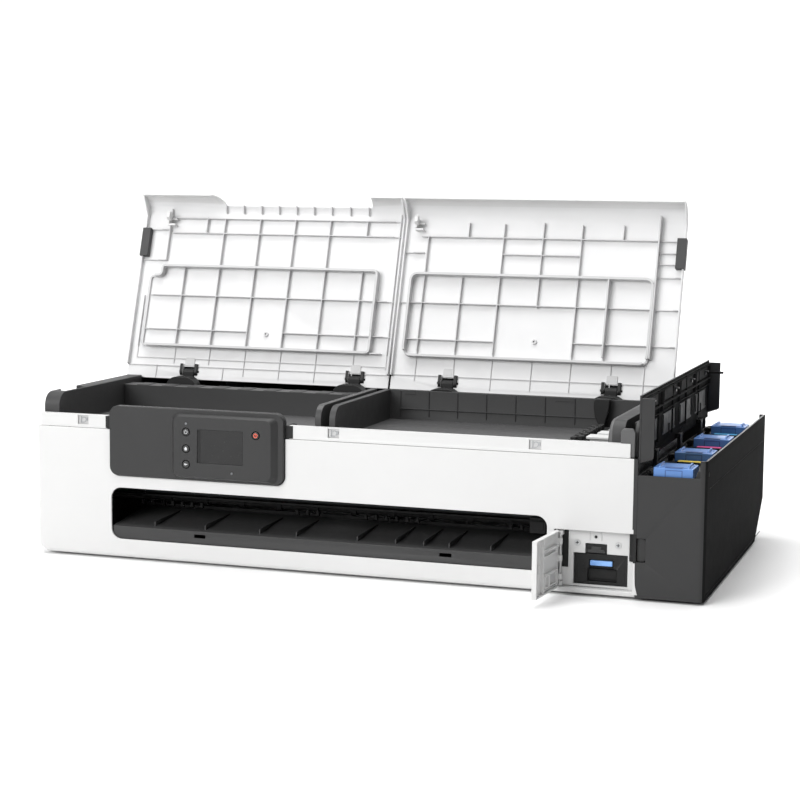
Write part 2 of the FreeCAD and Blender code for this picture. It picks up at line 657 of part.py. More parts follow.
def maintenance_bay():
    """White frame with the door's hinge pin, and the sleeve that the cartridge slides into."""
    y0 = d.bay_sink
    plate = box("bay_plate", (d.bay_x + 0.5, y0, d.bay_z + 0.2), (d.main_w - 3, y0 + 3, d.bay_top + 6))
    sleeve = box("bay_sleeve", (d.cart_x - 2, y0, d.bay_z + 0.2), (d.cart_end + 2, d.cart_back + 4,
                                                                 d.cart_top + 3))
    tools = [
        box("cartridge_hole", (d.cart_x, y0 - 1, d.cart_z), (d.cart_end, d.cart_back + 1, d.cart_top)),
        box("key_window", (808, y0 - 1, d.cart_top - 1), (837, y0 + 20, 70)),
        box("hinge_slot", (776, y0 - 1, 16), (785, y0 + 12, 86)),
        rod("tab_hole", "y", (822, y0 - 1, 79), 5, 2),
        rod("screw_hole_a", "y", (797, y0 - 1, 70), 6, 4),
        rod("screw_hole_b", "y", (852, y0 - 1, 69.5), 6, 4),
    ]
    holed = cut("bay_holed", fuse("bay_body", plate, sleeve), *tools)
    lugs = [box("bay_lug_%d" % i, (d.door_pin_x - 0.8, 3.2, z), (d.door_pin_x + 3.8, y0 + 1, z + 6))
            for i, z in enumerate((12, 80))]
    pin = rod("door_pin", "z", (d.door_pin_x, d.door_pin_y, 12), 74, 1.5)
    subpart("maintenance_bay", fuse("maintenance_bay", holed, *lugs, pin))
    screws = [rod("screw_%d" % i, "y", (x, y0 - 0.6, z), 3.6, 4) for i, (x, z) in
              enumerate(((797, 70), (852, 69.5)))]
    subpart("case_screws", group("case_screws", *screws))


def maintenance_cartridge():
    """Waste ink cartridge with its blue release bar."""
    gap = d.cart_gap
    y0 = d.bay_sink + 3
    block = box("cartridge_block", (d.cart_x + gap, y0, d.cart_z + 0.05),
                (d.cart_end - gap, d.cart_back, d.cart_top - gap))
    recess = box("cartridge_recess", (811, y0 - 1, 19), (850, y0 + 5, 36))
    seat = box("latch_seat", (813, y0 - 1, 36.5), (845, y0 + 4, 48))
    subpart("maintenance_cartridge", cut("maintenance_cartridge", block, recess, seat))
    subpart("cartridge_latch", box("cartridge_latch", (814, y0 - 0.6, 40), (844, y0 + 3.6, 47)))


DOOR_TURN = FreeCAD.Rotation(FreeCAD.Vector(0, 0, 1), -DIMENSIONS["door_open"])
LUGS = (20, 45, 68)


def maintenance_door():
    """Small white door on a vertical hinge, standing open; laid out shut from its pin line."""
    body = new_body("door_shell")
    left = size(-5)
    right = left + d.door_w
    front = -d.door_pin_y
    pad(body, "door_sheet", "y", front, front + d.door_thick,
        [(left, d.door_z), (right, d.door_z), (right, d.door_top), (left, d.door_top)])
    rim_a = box("door_rim_a", (right - 3, front, d.door_z), (right, front + d.door_rim, d.door_top))
    rim_b = box("door_rim_b", (left + 14, front, d.door_z), (right, front + d.door_rim, d.door_z + 2))
    rim_c = box("door_rim_c", (left + 14, front, d.door_top - 2), (right, front + d.door_rim, d.door_top))
    shelf = box("door_shelf", (left + 22, front, 60), (right - 30, front + 6.5, 62))
    eyes = []
    for i, z in enumerate(LUGS):
        eyes.append(rod("door_eye_%d" % i, "z", (0, 0, z), 8, 3.4))
        eyes.append(box("door_lug_%d" % i, (-2, front + 1, z), (3.4, 0, z + 8)))
    shell = fuse("door_body", body, rim_a, rim_b, rim_c, shelf, *eyes)
    bore = rod("door_bore", "z", (0, 0, 15), 70, 1.5 + d.fit)
    subpart("maintenance_door", cut("maintenance_door", shell, bore),
            place=(d.door_pin_x, d.door_pin_y, 0), turn=DOOR_TURN)


# ---------------------------------------------------------------- ink housing

def housing_outline(inset):
    """Side view of the ink housing, its lower back corner sloped away."""
    low = d.lift + 1 + inset
    slope = inset * 0.6
    return [(inset, low), (d.ink_slope_y - slope, low), (d.body_d - inset, d.ink_slope_z + slope),
            (d.body_d - inset, d.ink_side if inset == 0 else d.ink_side + 5),
            (inset, d.ink_side if inset == 0 else d.ink_side + 5)]


def ink_housing():
    """Charcoal box on the right end, open at the top, with a finger cup beside the door."""
    outer = prism("housing_outer", "x", d.ink_x + 0.4, d.body_w, housing_outline(0))
    spots = [(d.body_w, 0)]
    rounded = round_edges("housing_rounded", outer, d.ink_round, "z", spots)
    inner = prism("housing_inner", "x", d.ink_x + 3, d.body_w - 3, housing_outline(3))
    front = box("housing_front_cut", (d.ink_x, -1, d.ink_front), (d.body_w - 9, 5, 200))
    side = box("housing_inner_cut", (d.ink_x, -1, d.ink_front), (d.ink_x + 4, d.body_d + 1, 200))
    back = box("housing_back_cut", (d.ink_x, d.body_d - 5, d.ink_front), (d.body_w - 9, d.body_d + 1, 200))
    grip = box("housing_grip_cut", (d.ink_x - 1, -1, 49), (892, 12, 85))
    shell = cut("housing_shell", rounded, inner, front, side, back, grip)
    cup_outer = box("cup_outer", (d.ink_x + 0.4, 0, 49), (892, 12, 85))
    cup_inner = box("cup_inner", (d.ink_x - 1, -1, 51), (890, 10.4, 83))
    subpart("ink_housing", fuse("ink_housing", shell, cut("finger_cup", cup_outer, cup_inner)))


def neck_y(index):
    return d.cap_y + d.cap_d / 2 + d.cap_pitch * index


def ink_deck():
    """Deck over the tanks: neck holes, hinge posts and raised seats for the colour labels."""
    x0, x1 = d.ink_x + 3.1, d.body_w - 3.1
    plate = box("deck_plate", (x0, 3.1, d.deck_z), (x1, d.body_d - 3.1, d.deck_z + d.deck_thick))
    neck_x = d.cap_x + d.cap_w / 2
    holes = [rod("neck_hole_%d" % i, "z", (neck_x, neck_y(i), d.deck_z - 1), 6, 12) for i in range(4)]
    posts = []
    top = d.deck_z + d.deck_thick
    for i in range(4):
        y = neck_y(i)
        posts.append(box("cap_post_%d" % i, (d.cap_pin_x - 3, y - 8, top - 1),
                         (d.cap_pin_x + 3, y + 8, d.cap_pin_z + 3)))
        posts.append(rod("cap_pin_%d" % i, "y", (d.cap_pin_x, y - 14, d.cap_pin_z), 28, 1.5))
    for i, y in enumerate((90, 262, 430)):
        posts.append(box("cover_post_%d" % i, (d.cover_pin_x - 2.5, y - 8, top - 1),
                         (d.cover_pin_x + 2.5, y + 8, d.cover_pin_z + 2.5)))
        posts.append(rod("cover_pin_%d" % i, "y", (d.cover_pin_x, y - 14, d.cover_pin_z), 28, 1.5))
    posts += [box("label_seat_%d" % i, (904, d.cap_y + d.cap_pitch * i - 22, top - 1),
                  (940, d.cap_y + d.cap_pitch * i - 8, top + 4)) for i in (1, 2, 3)]
    slot = box("lever_slot", (946, 490, d.deck_z - 1), (956, 500, top + 1))
    subpart("ink_deck", fuse("ink_deck", cut("deck_holed", plate, slot, *holes), *posts))


def ink_tanks():
    """Four translucent tanks under the deck, each with a filling neck."""
    neck_x = d.cap_x + d.cap_w / 2
    tanks = []
    for i in range(4):
        y0 = 5 + d.tank_pitch * i
        block = box("tank_block_%d" % i, (d.ink_x + 6, y0, d.tank_z),
                    (d.body_w - 6, y0 + 126, d.deck_z - 1))
        neck = rod("tank_neck_%d" % i, "z", (neck_x, neck_y(i), d.deck_z - 2), 5, 11)
        bore = rod("tank_bore_%d" % i, "z", (neck_x, neck_y(i), d.deck_z - 12), 16, 9)
        tanks.append(cut("tank_%d" % i, fuse("tank_body_%d" % i, block, neck), bore))
    subpart("ink_tanks", group("ink_tanks", *tanks))


CAP_NAMES = ("ink_cap_black", "ink_cap_yellow", "ink_cap_magenta", "ink_cap_cyan")


def ink_caps():
    """Four blue flip caps, each with its plug and two hinge arms."""
    low = d.deck_z + d.deck_thick + 0.6
    neck_x = d.cap_x + d.cap_w / 2
    for i, node in enumerate(CAP_NAMES):
        y0 = d.cap_y + d.cap_pitch * i
        y = neck_y(i)
        block = box(node + "_block", (d.cap_x, y0, low), (d.cap_x + d.cap_w, y0 + d.cap_d, d.cap_top))
        plug = rod(node + "_plug", "z", (neck_x, y, low - 5), 6, 7.5)
        pieces = [block, plug]
        for j, side in enumerate((y - 13.5, y + 8.5)):
            pieces.append(rod("%s_eye_%d" % (node, j), "y", (d.cap_pin_x, side, d.cap_pin_z), 5, 3.6))
            pieces.append(box("%s_arm_%d" % (node, j), (d.cap_pin_x, side, d.cap_pin_z - 2),
                              (d.cap_x + 1, side + 5, d.cap_pin_z + 3.6)))
        bore = rod(node + "_bore", "y", (d.cap_pin_x, y - 20, d.cap_pin_z), 40, 1.5 + d.fit)
        subpart(node, cut(node, fuse(node + "_body", *pieces), bore))


def ink_cover():
    """Long shell over the ink caps, standing open: sheet, two end flanges and hinge ears."""
    x0, x1 = d.cover_face, d.cover_face + d.cover_thick
    low, top = d.cover_pin_z - 5, d.cover_top
    y0, y1 = size(3.4), d.body_d - 3.4
    sheet_box = box("cover_sheet", (x0, y0, low), (x1, y1, top))
    far = x0 + d.cover_flange
    front_end = [(x1, low), (far, low + 6, 5), (far, top - 3.6), (x1, top - 3.6)]
    back_end = [(x1, low + 7), (far, low + 13, 5), (far, top - 3.6), (x1, top - 3.6)]
    ends = [prism("cover_front_end", "y", y0, y0 + 2.2, front_end),
            prism("cover_back_end", "y", y1 - 2.2, y1, back_end)]
    ribs = [box("cover_rib_%d" % i, (x1 - 1, 5 + 104 * i, low + 14), (x1 + 2.4, 7 + 104 * i, top - 4))
            for i in range(1, 5)]
    ribs.append(box("cover_rail", (x1 - 1, y0, top - 8), (x1 + 2.4, y1, top - 6)))
    ears = []
    for i, y in enumerate((90, 262, 430)):
        for j, side in enumerate((y - 14, y + 8.5)):
            name = "cover_ear_%d%d" % (i, j)
            ears.append(rod(name, "y", (d.cover_pin_x, side, d.cover_pin_z), 5, 3.2))
            ears.append(box(name + "_web", (x0, side, d.cover_pin_z - 3.2),
                            (d.cover_pin_x, side + 5, d.cover_pin_z + 3.2)))
    lever = box("cover_lever", (x1, 492, 252), (906.4, 498, 255))
    body = fuse("cover_body", sheet_box, *ribs, *ears)
    bore = rod("cover_bore", "y", (d.cover_pin_x, 60, d.cover_pin_z), 400, 1.5 + d.fit)
    shell = cut("cover_shell", body, bore)
    subpart("ink_cover", group("ink_cover", shell, *ends, lever))


# ---------------------------------------------------------------- frames and paper path

def side_frames():
    """Two steel plates that carry the rail and the roller shafts."""
    for node, start in (("left_side_frame", d.frame_a), ("right_side_frame", d.frame_b)):
        plate = prism(node + "_plate", "x", start, start + d.frame_thick,
                      [(40, 15), (460, 15), (460, 120), (300, 184), (40, 184)])
        window = box(node + "_window", (start - 1, 60, 30), (start + 4, 105, 160))
        bores = [rod("%s_bore_%d" % (node, i), "x", (start - 1, y, z), 5, d.shaft_rad + d.fit)
                 for i, (y, z) in enumerate(SHAFTS)]
        subpart(node, cut(node, plate, window, *bores))


SHAFTS = [(d.feed_y, d.paper_z - d.feed_rad), (d.feed_y, d.paper_z + d.pinch_rad + 0.6),
          (d.exit_y, d.paper_z + d.exit_rad + 0.6)]


def roller(node, shaft, radius, spans, end):
    """A shaft from the left side frame, with rollers on given stretches of it."""
    y, z = shaft
    core = rod(node + "_shaft", "x", (d.frame_a + 0.3, y, z), end - d.frame_a - 0.3, d.shaft_rad)
    tyres = [rod("%s_tyre_%d" % (node, i), "x", (low, y, z), high - low, radius)
             for i, (low, high) in enumerate(spans)]
    subpart(node, fuse(node, core, *tyres))


def rollers():
    through = d.frame_b + d.frame_thick
    roller("feed_roller", SHAFTS[0], d.feed_rad, [(d.roll_a, d.roll_b)], through)
    roller("pinch_rollers", SHAFTS[1], d.pinch_rad,
           [(size(140 + 75 * i), size(190 + 75 * i)) for i in range(8)], size(784))
    roller("exit_rollers", SHAFTS[2], d.exit_rad,
           [(size(150 + 58 * i), size(158 + 58 * i)) for i in range(11)], through)


def output_tray():
    """Charcoal tray that the sheet slides out on: front lip, ramp and low ribs."""
    body = new_body("tray_sheet")
    inside = (d.tray_back, d.tray_rise)
    outline = [(d.skin + 0.3, d.slot_z + 0.2), (d.skin + 3, d.slot_z + 0.2), (d.skin + 3.2, d.tray_lip - 3),
               (inside[0], inside[1] - 3), inside, (d.skin + 6, d.tray_lip), (d.skin + 0.3, d.tray_lip - 2)]
    pad(body, "tray_pad", "x", d.slot_x + 1, d.slot_end - 1, outline)
    notches = [box("tray_notch_%d" % i, (x, 0, 38.5), (x + 17, 12, 43.5))
               for i, x in enumerate((246, 608.5))]
    subpart("output_tray", cut("output_tray", body, *notches))


def platen():
    """Flat bed under the print head."""
    block = box("platen_block", (d.slot_x + 1, d.platen_y, 47), (d.slot_end - 1, d.platen_back, d.paper_z))
    under = box("platen_under", (d.slot_x + 5, d.platen_y + 3, 46), (d.slot_end - 5, d.platen_back - 3, 60))
    subpart("platen", cut("platen", block, under))


def exit_guide():
    """Black upper guide inside the slot, with three red sensor windows."""
    y0 = GUIDE_Y
    face = box("guide_face", (d.slot_x + 1, y0, 78), (d.slot_end - 1, y0 + 3, 118))
    lip = box("guide_lip", (d.slot_x + 1, y0 - 8, 78), (d.slot_end - 1, y0 + 3, 81))
    holes = [rod("guide_hole_%d" % i, "y", (x, y0 - 1, SENSOR_Z), 5, 2.6) for i, x in enumerate(SENSORS)]
    subpart("exit_guide", cut("exit_guide", fuse("guide_body", face, lip), *holes))


# ---------------------------------------------------------------- carriage drive

def carriage_rail():
    rail = box("rail_beam", (d.frame_a + d.frame_thick, d.rail_y, d.rail_z), (d.frame_b, d.rail_y + d.rail_d,
                                                                             d.rail_top))
    post = box("rail_post", (d.pulley_b - 8, d.rail_y + d.rail_d - 2, d.rail_top),
               (d.pulley_b + 8, d.rail_y + d.rail_d, d.belt_z + 6))
    stub = rod("rail_stub", "y", (d.pulley_b, d.belt_y - 1, d.belt_z), d.rail_d - 1, 2)
    hollow = box("rail_hollow", (45, d.rail_y + 3, d.rail_z - 1),
                 (860, d.rail_y + d.rail_d - 3, d.rail_top - 3))
    subpart("carriage_rail", cut("carriage_rail", fuse("rail_body", rail, post, stub), hollow))


def carriage():
    """Carriage parked over the cleaning unit at the right end."""
    shell = box("carriage_shell", (d.car_x, d.car_y, d.car_z), (d.car_x + d.car_w, d.car_back, d.car_top))
    well = box("carriage_well", (d.car_x + 7, d.car_y + 5, d.car_z - 1),
               (d.car_x + d.car_w - 7, d.car_back - 10, 150))
    runner = box("carriage_runner", (d.car_x + 5, d.car_back - 1, d.rail_z), (d.car_x + d.car_w - 5,
                                                                             d.rail_y - 0.5, d.rail_top))
    clip = box("carriage_clip", (d.car_x + 20, d.car_back - 1, d.belt_z + 10), (d.car_x + 45, 207,
                                                                              d.belt_z + 14))
    foot = box("carriage_clip_foot", (d.car_x + 20, d.car_back - 4, d.car_top - 1), (d.car_x + 45,
                                                                                   d.car_back, d.belt_z + 14))
    subpart("carriage", cut("carriage", fuse("carriage_body", shell, runner, clip, foot), well))
    head = box("head_block", (d.car_x + 7.2, d.car_y + 5.2, d.head_z + 6), (d.car_x + d.car_w - 7.2,
                                                                         d.car_back - 10.2, 149.8))
    nozzle = box("head_nozzle", (d.car_x + 18, d.car_y + 14, d.head_z), (d.car_x + d.car_w - 18,
                                                                        d.car_back - 20, d.head_z + 7))
    subpart("print_head", fuse("print_head", head, nozzle))


def belt_loop(name, radius, width, y):
    """Stadium-shaped block round both pulleys."""
    ends = [rod("%s_end_%d" % (name, i), "y", (x, y, d.belt_z), width, radius)
            for i, x in enumerate((d.pulley_a, d.pulley_b))]
    middle = box(name + "_middle", (d.pulley_a, y, d.belt_z - radius), (d.pulley_b, y + width,
                                                                      d.belt_z + radius))
    return fuse(name, middle, *ends)


def belt_drive():
    inner = d.pulley_rad + 0.1
    outer = belt_loop("belt_outer", inner + d.belt_thick, d.belt_w, d.belt_y)
    hole = belt_loop("belt_hole", inner, d.belt_w + 2, d.belt_y - 1)
    subpart("timing_belt", cut("timing_belt", outer, hole))
    hub = rod("pulley_rim", "y", (d.pulley_a, d.belt_y, d.belt_z), d.belt_w, d.pulley_rad)
    axle = rod("pulley_axle", "y", (d.pulley_a, d.belt_y + 1, d.belt_z), 16, 2)
    subpart("drive_pulley", fuse("drive_pulley", hub, axle))
    wheel = rod("idler_rim", "y", (d.pulley_b, d.belt_y, d.belt_z), d.belt_w, d.pulley_rad)
    bore = rod("idler_bore", "y", (d.pulley_b, d.belt_y - 1, d.belt_z), d.belt_w + 2, 2 + d.fit)
    subpart("idler_pulley", cut("idler_pulley", wheel, bore))
    can = rod("belt_motor_can", "y", (d.pulley_a, d.rail_y + d.rail_d + 1, d.belt_z), 30, 16)
    well = rod("belt_motor_well", "y", (d.pulley_a, d.rail_y + d.rail_d, d.belt_z), 9, 2 + d.fit)
    foot = box("belt_motor_foot", (d.pulley_a - 12, d.rail_y + d.rail_d, 130), (d.pulley_a + 12,
                                                                              d.rail_y + d.rail_d + 12, 150))
    belt_motor = cut("belt_motor", fuse("belt_motor_body", can, foot), well)
    y, z = pinion_axis()
    feed_can = rod("feed_motor_can", "x", (d.gear_x + d.gear_w + 2, y, z), 34, 18)
    feed_foot = box("feed_motor_foot", (d.gear_x + d.gear_w + 6, y - 15, 6), (d.gear_x + d.gear_w + 30,
                                                                           y + 15, z))
    feed_well = rod("feed_motor_well", "x", (d.gear_x + d.gear_w + 1, y, z), 8, 2.5 + d.fit)
    feed_motor = cut("feed_motor", fuse("feed_motor_body", feed_can, feed_foot), feed_well)
    subpart("drive_motors", group("drive_motors", belt_motor, feed_motor))


MESH_GAP = 0.25


def pinion_axis():
    """Centre of the feed motor's shaft, straight behind the feed roller."""
    reach = d.gear_mod * (d.gear_teeth + d.pinion_teeth) / 2 + MESH_GAP
    return SHAFTS[0][0] + reach, SHAFTS[0][1]


def gear_shape(teeth, bore, start, centre, phase):
    """A spur gear's solid: trapezoid teeth on a disc, its axis along x."""
    module = DIMENSIONS["gear_mod"]
    pitch_rad = module * teeth / 2
    root, tip = pitch_rad - 1.25 * module, pitch_rad + 0.9 * module
    step = 2 * math.pi / teeth
    points = []
    for tooth in range(teeth):
        middle = tooth * step + phase
        for radius, share in ((root, -0.36), (tip, -0.12), (tip, 0.12), (root, 0.36)):
            angle = middle + share * step
            points.append(FreeCAD.Vector(start, centre[0] + radius * math.cos(angle),
                                         centre[1] + radius * math.sin(angle)))
    face = Part.Face(Part.makePolygon(points + points[:1]))
    solid = face.extrude(FreeCAD.Vector(DIMENSIONS["gear_w"], 0, 0))
    hole = Part.makeCylinder(bore, 40, FreeCAD.Vector(start - 10, centre[0], centre[1]),
                             FreeCAD.Vector(1, 0, 0))
    return solid.cut(hole) if bore else solid


def feed_gears():
    """Gear on the feed roller's shaft and the pinion on the motor's."""
    start = d.gear_x.number
    axis = tuple(value.number for value in SHAFTS[0])
    gear = doc.addObject("Part::Feature", "feed_gear")
    gear.Shape = gear_shape(DIMENSIONS["gear_teeth"], DIMENSIONS["shaft_rad"] + 0.02, start, axis, 0)
    subpart("feed_gear", gear)
    spot = tuple(value.number for value in pinion_axis())
    half_tooth = math.pi / DIMENSIONS["pinion_teeth"]
    wheel = gear_shape(DIMENSIONS["pinion_teeth"], 0, start, spot, math.pi + half_tooth)
    shaft = Part.makeCylinder(2.5, 17, FreeCAD.Vector(start, *spot), FreeCAD.Vector(1, 0, 0))
    pinion = doc.addObject("Part::Feature", "motor_pinion")
    pinion.Shape = wheel.fuse(shaft).removeSplitter()
    subpart("motor_pinion", pinion)


def cleaning_unit():
    """Capping and cleaning unit under the parked carriage."""
    left, right = d.car_x, d.car_x + d.car_w
    block = box("cleaning_block", (left + 2, d.car_y + 4, 30), (right - 2, d.car_back - 6, 62))
    leg = box("cleaning_leg", (left + 10, d.car_y + 14, 6), (right - 10, d.car_back - 16, 31))
    cap = box("cleaning_cap", (left + 16, d.car_y + 12, 61), (right - 16, d.car_back - 18, 66))
    well = box("cleaning_well", (left + 18, d.car_y + 14, 64), (right - 18, d.car_back - 20, 67))
    subpart("cleaning_unit", cut("cleaning_unit", fuse("cleaning_body", block, leg, cap), well))


# ---------------------------------------------------------------- roll bay and electronics

def roll_spindle():
    """Paper roll spindle with its two flanges, resting in the saddles."""
    core = rod("spindle_core", "x", (100, d.roll_y, d.roll_z), 680, d.spindle_rad)
    subpart("roll_spindle", core)
    flanges = []
    for i, (disc, hub) in enumerate(((118, 126), (752, 728))):
        wheel = rod("flange_disc_%d" % i, "x", (disc, d.roll_y, d.roll_z), d.flange_w, d.flange_rad)
        sleeve = rod("flange_hub_%d" % i, "x", (hub, d.roll_y, d.roll_z), 24, 25)
        bore = rod("flange_bore_%d" % i, "x", (100, d.roll_y, d.roll_z), 680, d.spindle_rad + 0.02)
        flanges.append(cut("flange_%d" % i, fuse("flange_body_%d" % i, wheel, sleeve), bore))
    subpart("roll_flanges", group("roll_flanges", *flanges))


def electronics():
    board = box("board_sheet", (140, 310, 20), (400, 500, 21.6))
    chips = [box("chip_%d" % i, (170 + 60 * i, 350, 21.6), (200 + 60 * i, 380, 24)) for i in range(3)]
    posts = [rod("board_post_%d" % i, "z", (x, y, 6), 14, 3) for i, (x, y) in
             enumerate(((150, 320), (390, 320), (150, 490), (390, 490)))]
    subpart("circuit_board", fuse("circuit_board", board, *chips, *posts))
    subpart("power_supply", box("power_supply", (560, 310, 6), (740, 385, 48)))
    inlet_block = box("inlet_block", (780, 496, 40), (808, 524, 62))
    inlet_well = box("inlet_well", (783, 508, 43), (805, 525, 59))
    port_block = box("port_block", (720, 500, 40), (758, 524, 58))
    port_wells = [box("port_well_%d" % i, (722 + 18 * i, 510, 42), (736 + 18 * i, 525, 56))
                  for i in range(2)]
    sockets = group("rear_sockets", cut("inlet", inlet_block, inlet_well),
                    cut("ports", port_block, *port_wells))
    subpart("rear_sockets", sockets)


# ---------------------------------------------------------------- assembly

base_pan()
feet()
front_cover()
top_strip()
left_side_cover()
rear_cover()
roll_cover()
left_bay_tray()
right_bay_tray()
right_end_wall()
lid("left_lid", d.lid_a, d.lid_a_w, HINGE_A, True)
lid("right_lid", d.lid_b, d.lid_b_w, HINGE_B, False)
lid_grip("left_lid_grip", d.lid_a, 0, 1)
lid_grip("right_lid_grip", d.lid_b, DIMENSIONS["lid_b_w"], -1)
lid_hinge_beam()
tube_clamp()
panel_bezel()
panel_face()
keys_and_lamps()
maintenance_bay()
maintenance_cartridge()
maintenance_door()
ink_housing()
ink_deck()
ink_tanks()
ink_caps()
ink_cover()
side_frames()
rollers()
output_tray()
platen()
exit_guide()
carriage_rail()
carriage()
belt_drive()
feed_gears()
cleaning_unit()
roll_spindle()
electronics()

doc.recompute()
for obj in doc.Objects:
    if "Invalid" in obj.State or "Error" in obj.State:
        raise ValueError("%s failed: %s" % (obj.Name, obj.State))
for node, obj in subparts:
    if obj.Shape.isNull() or not obj.Shape.isValid():
        raise ValueError("%s has no valid shape" % node)

os.makedirs("parts", exist_ok=True)
for node, obj in subparts:
    obj.Shape.exportStep("parts/%s.step" % node)
whole = Part.makeCompound([obj.Shape for node, obj in subparts])
print("%d sub-parts, box %s" % (len(subparts), whole.BoundBox))
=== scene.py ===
"""Looks for a large format plotter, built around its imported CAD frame."""
import json
import math

import bmesh
import bpy
from mathutils import Matrix, Vector


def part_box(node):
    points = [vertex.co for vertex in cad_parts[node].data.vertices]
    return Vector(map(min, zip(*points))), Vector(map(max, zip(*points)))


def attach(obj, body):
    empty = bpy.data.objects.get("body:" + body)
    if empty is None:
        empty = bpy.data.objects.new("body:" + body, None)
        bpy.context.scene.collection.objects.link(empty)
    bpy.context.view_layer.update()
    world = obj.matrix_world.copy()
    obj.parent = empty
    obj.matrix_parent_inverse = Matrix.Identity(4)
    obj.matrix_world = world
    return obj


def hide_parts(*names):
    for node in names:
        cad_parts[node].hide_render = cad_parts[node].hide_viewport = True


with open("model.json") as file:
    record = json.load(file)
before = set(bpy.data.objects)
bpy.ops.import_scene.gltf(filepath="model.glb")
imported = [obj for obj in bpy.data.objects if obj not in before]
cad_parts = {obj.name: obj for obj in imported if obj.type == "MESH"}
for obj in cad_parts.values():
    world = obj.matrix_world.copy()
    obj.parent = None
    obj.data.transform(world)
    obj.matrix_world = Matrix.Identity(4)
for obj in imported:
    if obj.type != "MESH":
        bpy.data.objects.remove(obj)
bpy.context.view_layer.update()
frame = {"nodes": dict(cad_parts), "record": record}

MM = 0.001
SHARP_ANGLE = 32.0                     # degrees; edges that turn more are sharp, and are rounded
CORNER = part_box("front_cover")[0]      # left end and front face of the machine
LID_LEAN = math.radians(18.1)          # open lids lean back past vertical by this
HINGE_Y = 288.0
HINGE_Z = 241.0
UP_LID = Vector((0, math.sin(LID_LEAN), math.cos(LID_LEAN)))
IN_LID = Vector((0, -math.cos(LID_LEAN), math.sin(LID_LEAN)))


def at(x, y, z):
    """A point given in mm from the left end, the front face and the floor."""
    return Vector((CORNER.x + x * MM, CORNER.y + y * MM, z * MM))


def on_lid(x, u, v):
    """A point in mm on an open lid: along the machine, up from its hinge line, in from its skin."""
    return at(x, HINGE_Y, HINGE_Z) + (UP_LID * u + IN_LID * v) * MM


# ---------------------------------------------------------------- materials
SMUDGE_RATIO = 9           # how much finer the patches of roughness are than those of colour
SOFT_LIGHT_DEPTH = 0.002   # m that light travels inside the tank plastic


def node_tree(name):
    material = bpy.data.materials.new(name)
    material.use_nodes = True
    tree = material.node_tree
    return material, tree, tree.nodes["Principled BSDF"]


def add_noise(tree, coords, scale, detail=2.0, rough=0.5, stretch=None):
    noise = tree.nodes.new("ShaderNodeTexNoise")
    noise.inputs["Scale"].default_value = scale
    noise.inputs["Detail"].default_value = detail
    noise.inputs["Roughness"].default_value = rough
    source = coords.outputs["Object"]
    if stretch:
        mapping = tree.nodes.new("ShaderNodeMapping")
        mapping.inputs["Scale"].default_value = stretch
        tree.links.new(source, mapping.inputs["Vector"])
        source = mapping.outputs["Vector"]
    tree.links.new(source, noise.inputs["Vector"])
    return noise


def add_range(tree, source, low, high, start=0.35, end=0.65):
    spread = tree.nodes.new("ShaderNodeMapRange")
    spread.inputs["From Min"].default_value = start
    spread.inputs["From Max"].default_value = end
    spread.inputs["To Min"].default_value = low
    spread.inputs["To Max"].default_value = high
    tree.links.new(source, spread.inputs["Value"])
    return spread.outputs["Result"]


def finish_material(name, colour, rough, drift=0.04, grain=1800.0, bump=0.12, depth=0.00006,
                    spec=0.5, metal=0.0, coat=0.0, stretch=None, blotch=7.0, tint=None,
                    coat_rough=0.1, sss=0.0, rough_drift=0.06):
    """Moulded or worked surface: slow colour drift, patchy roughness and a fine moulded grain."""
    material, tree, shader = node_tree(name)
    coords = tree.nodes.new("ShaderNodeTexCoord")
    patches = add_noise(tree, coords, blotch, 4.0, 0.6, stretch)
    mix = tree.nodes.new("ShaderNodeMix")
    mix.data_type = "RGBA"
    dark = [c * (1 - drift) for c in colour]
    light = [min(1.0, c * (1 + drift)) for c in (tint or colour)]
    mix.inputs["A"].default_value = (*dark, 1)
    mix.inputs["B"].default_value = (*light, 1)
    tree.links.new(add_range(tree, patches.outputs["Fac"], 0, 1), mix.inputs["Factor"])
    tree.links.new(mix.outputs["Result"], shader.inputs["Base Color"])
    fine = add_noise(tree, coords, grain, 3.0, 0.6, stretch)
    smudge = add_noise(tree, coords, blotch * SMUDGE_RATIO, 3.0, 0.7, stretch)
    gloss = add_range(tree, smudge.outputs["Fac"], rough - rough_drift, rough + rough_drift)
    tree.links.new(gloss, shader.inputs["Roughness"])
    relief = tree.nodes.new("ShaderNodeBump")
    relief.inputs["Strength"].default_value = bump
    relief.inputs["Distance"].default_value = depth
    tree.links.new(fine.outputs["Fac"], relief.inputs["Height"])
    tree.links.new(relief.outputs["Normal"], shader.inputs["Normal"])
    shader.inputs["Specular IOR Level"].default_value = spec
    shader.inputs["Metallic"].default_value = metal
    shader.inputs["Coat Weight"].default_value = coat
    shader.inputs["Coat Roughness"].default_value = coat_rough
    if sss:
        shader.inputs["Subsurface Weight"].default_value = sss
        shader.inputs["Subsurface Scale"].default_value = SOFT_LIGHT_DEPTH
    return material


def grey(level):
    return (level, level, level * 1.01)


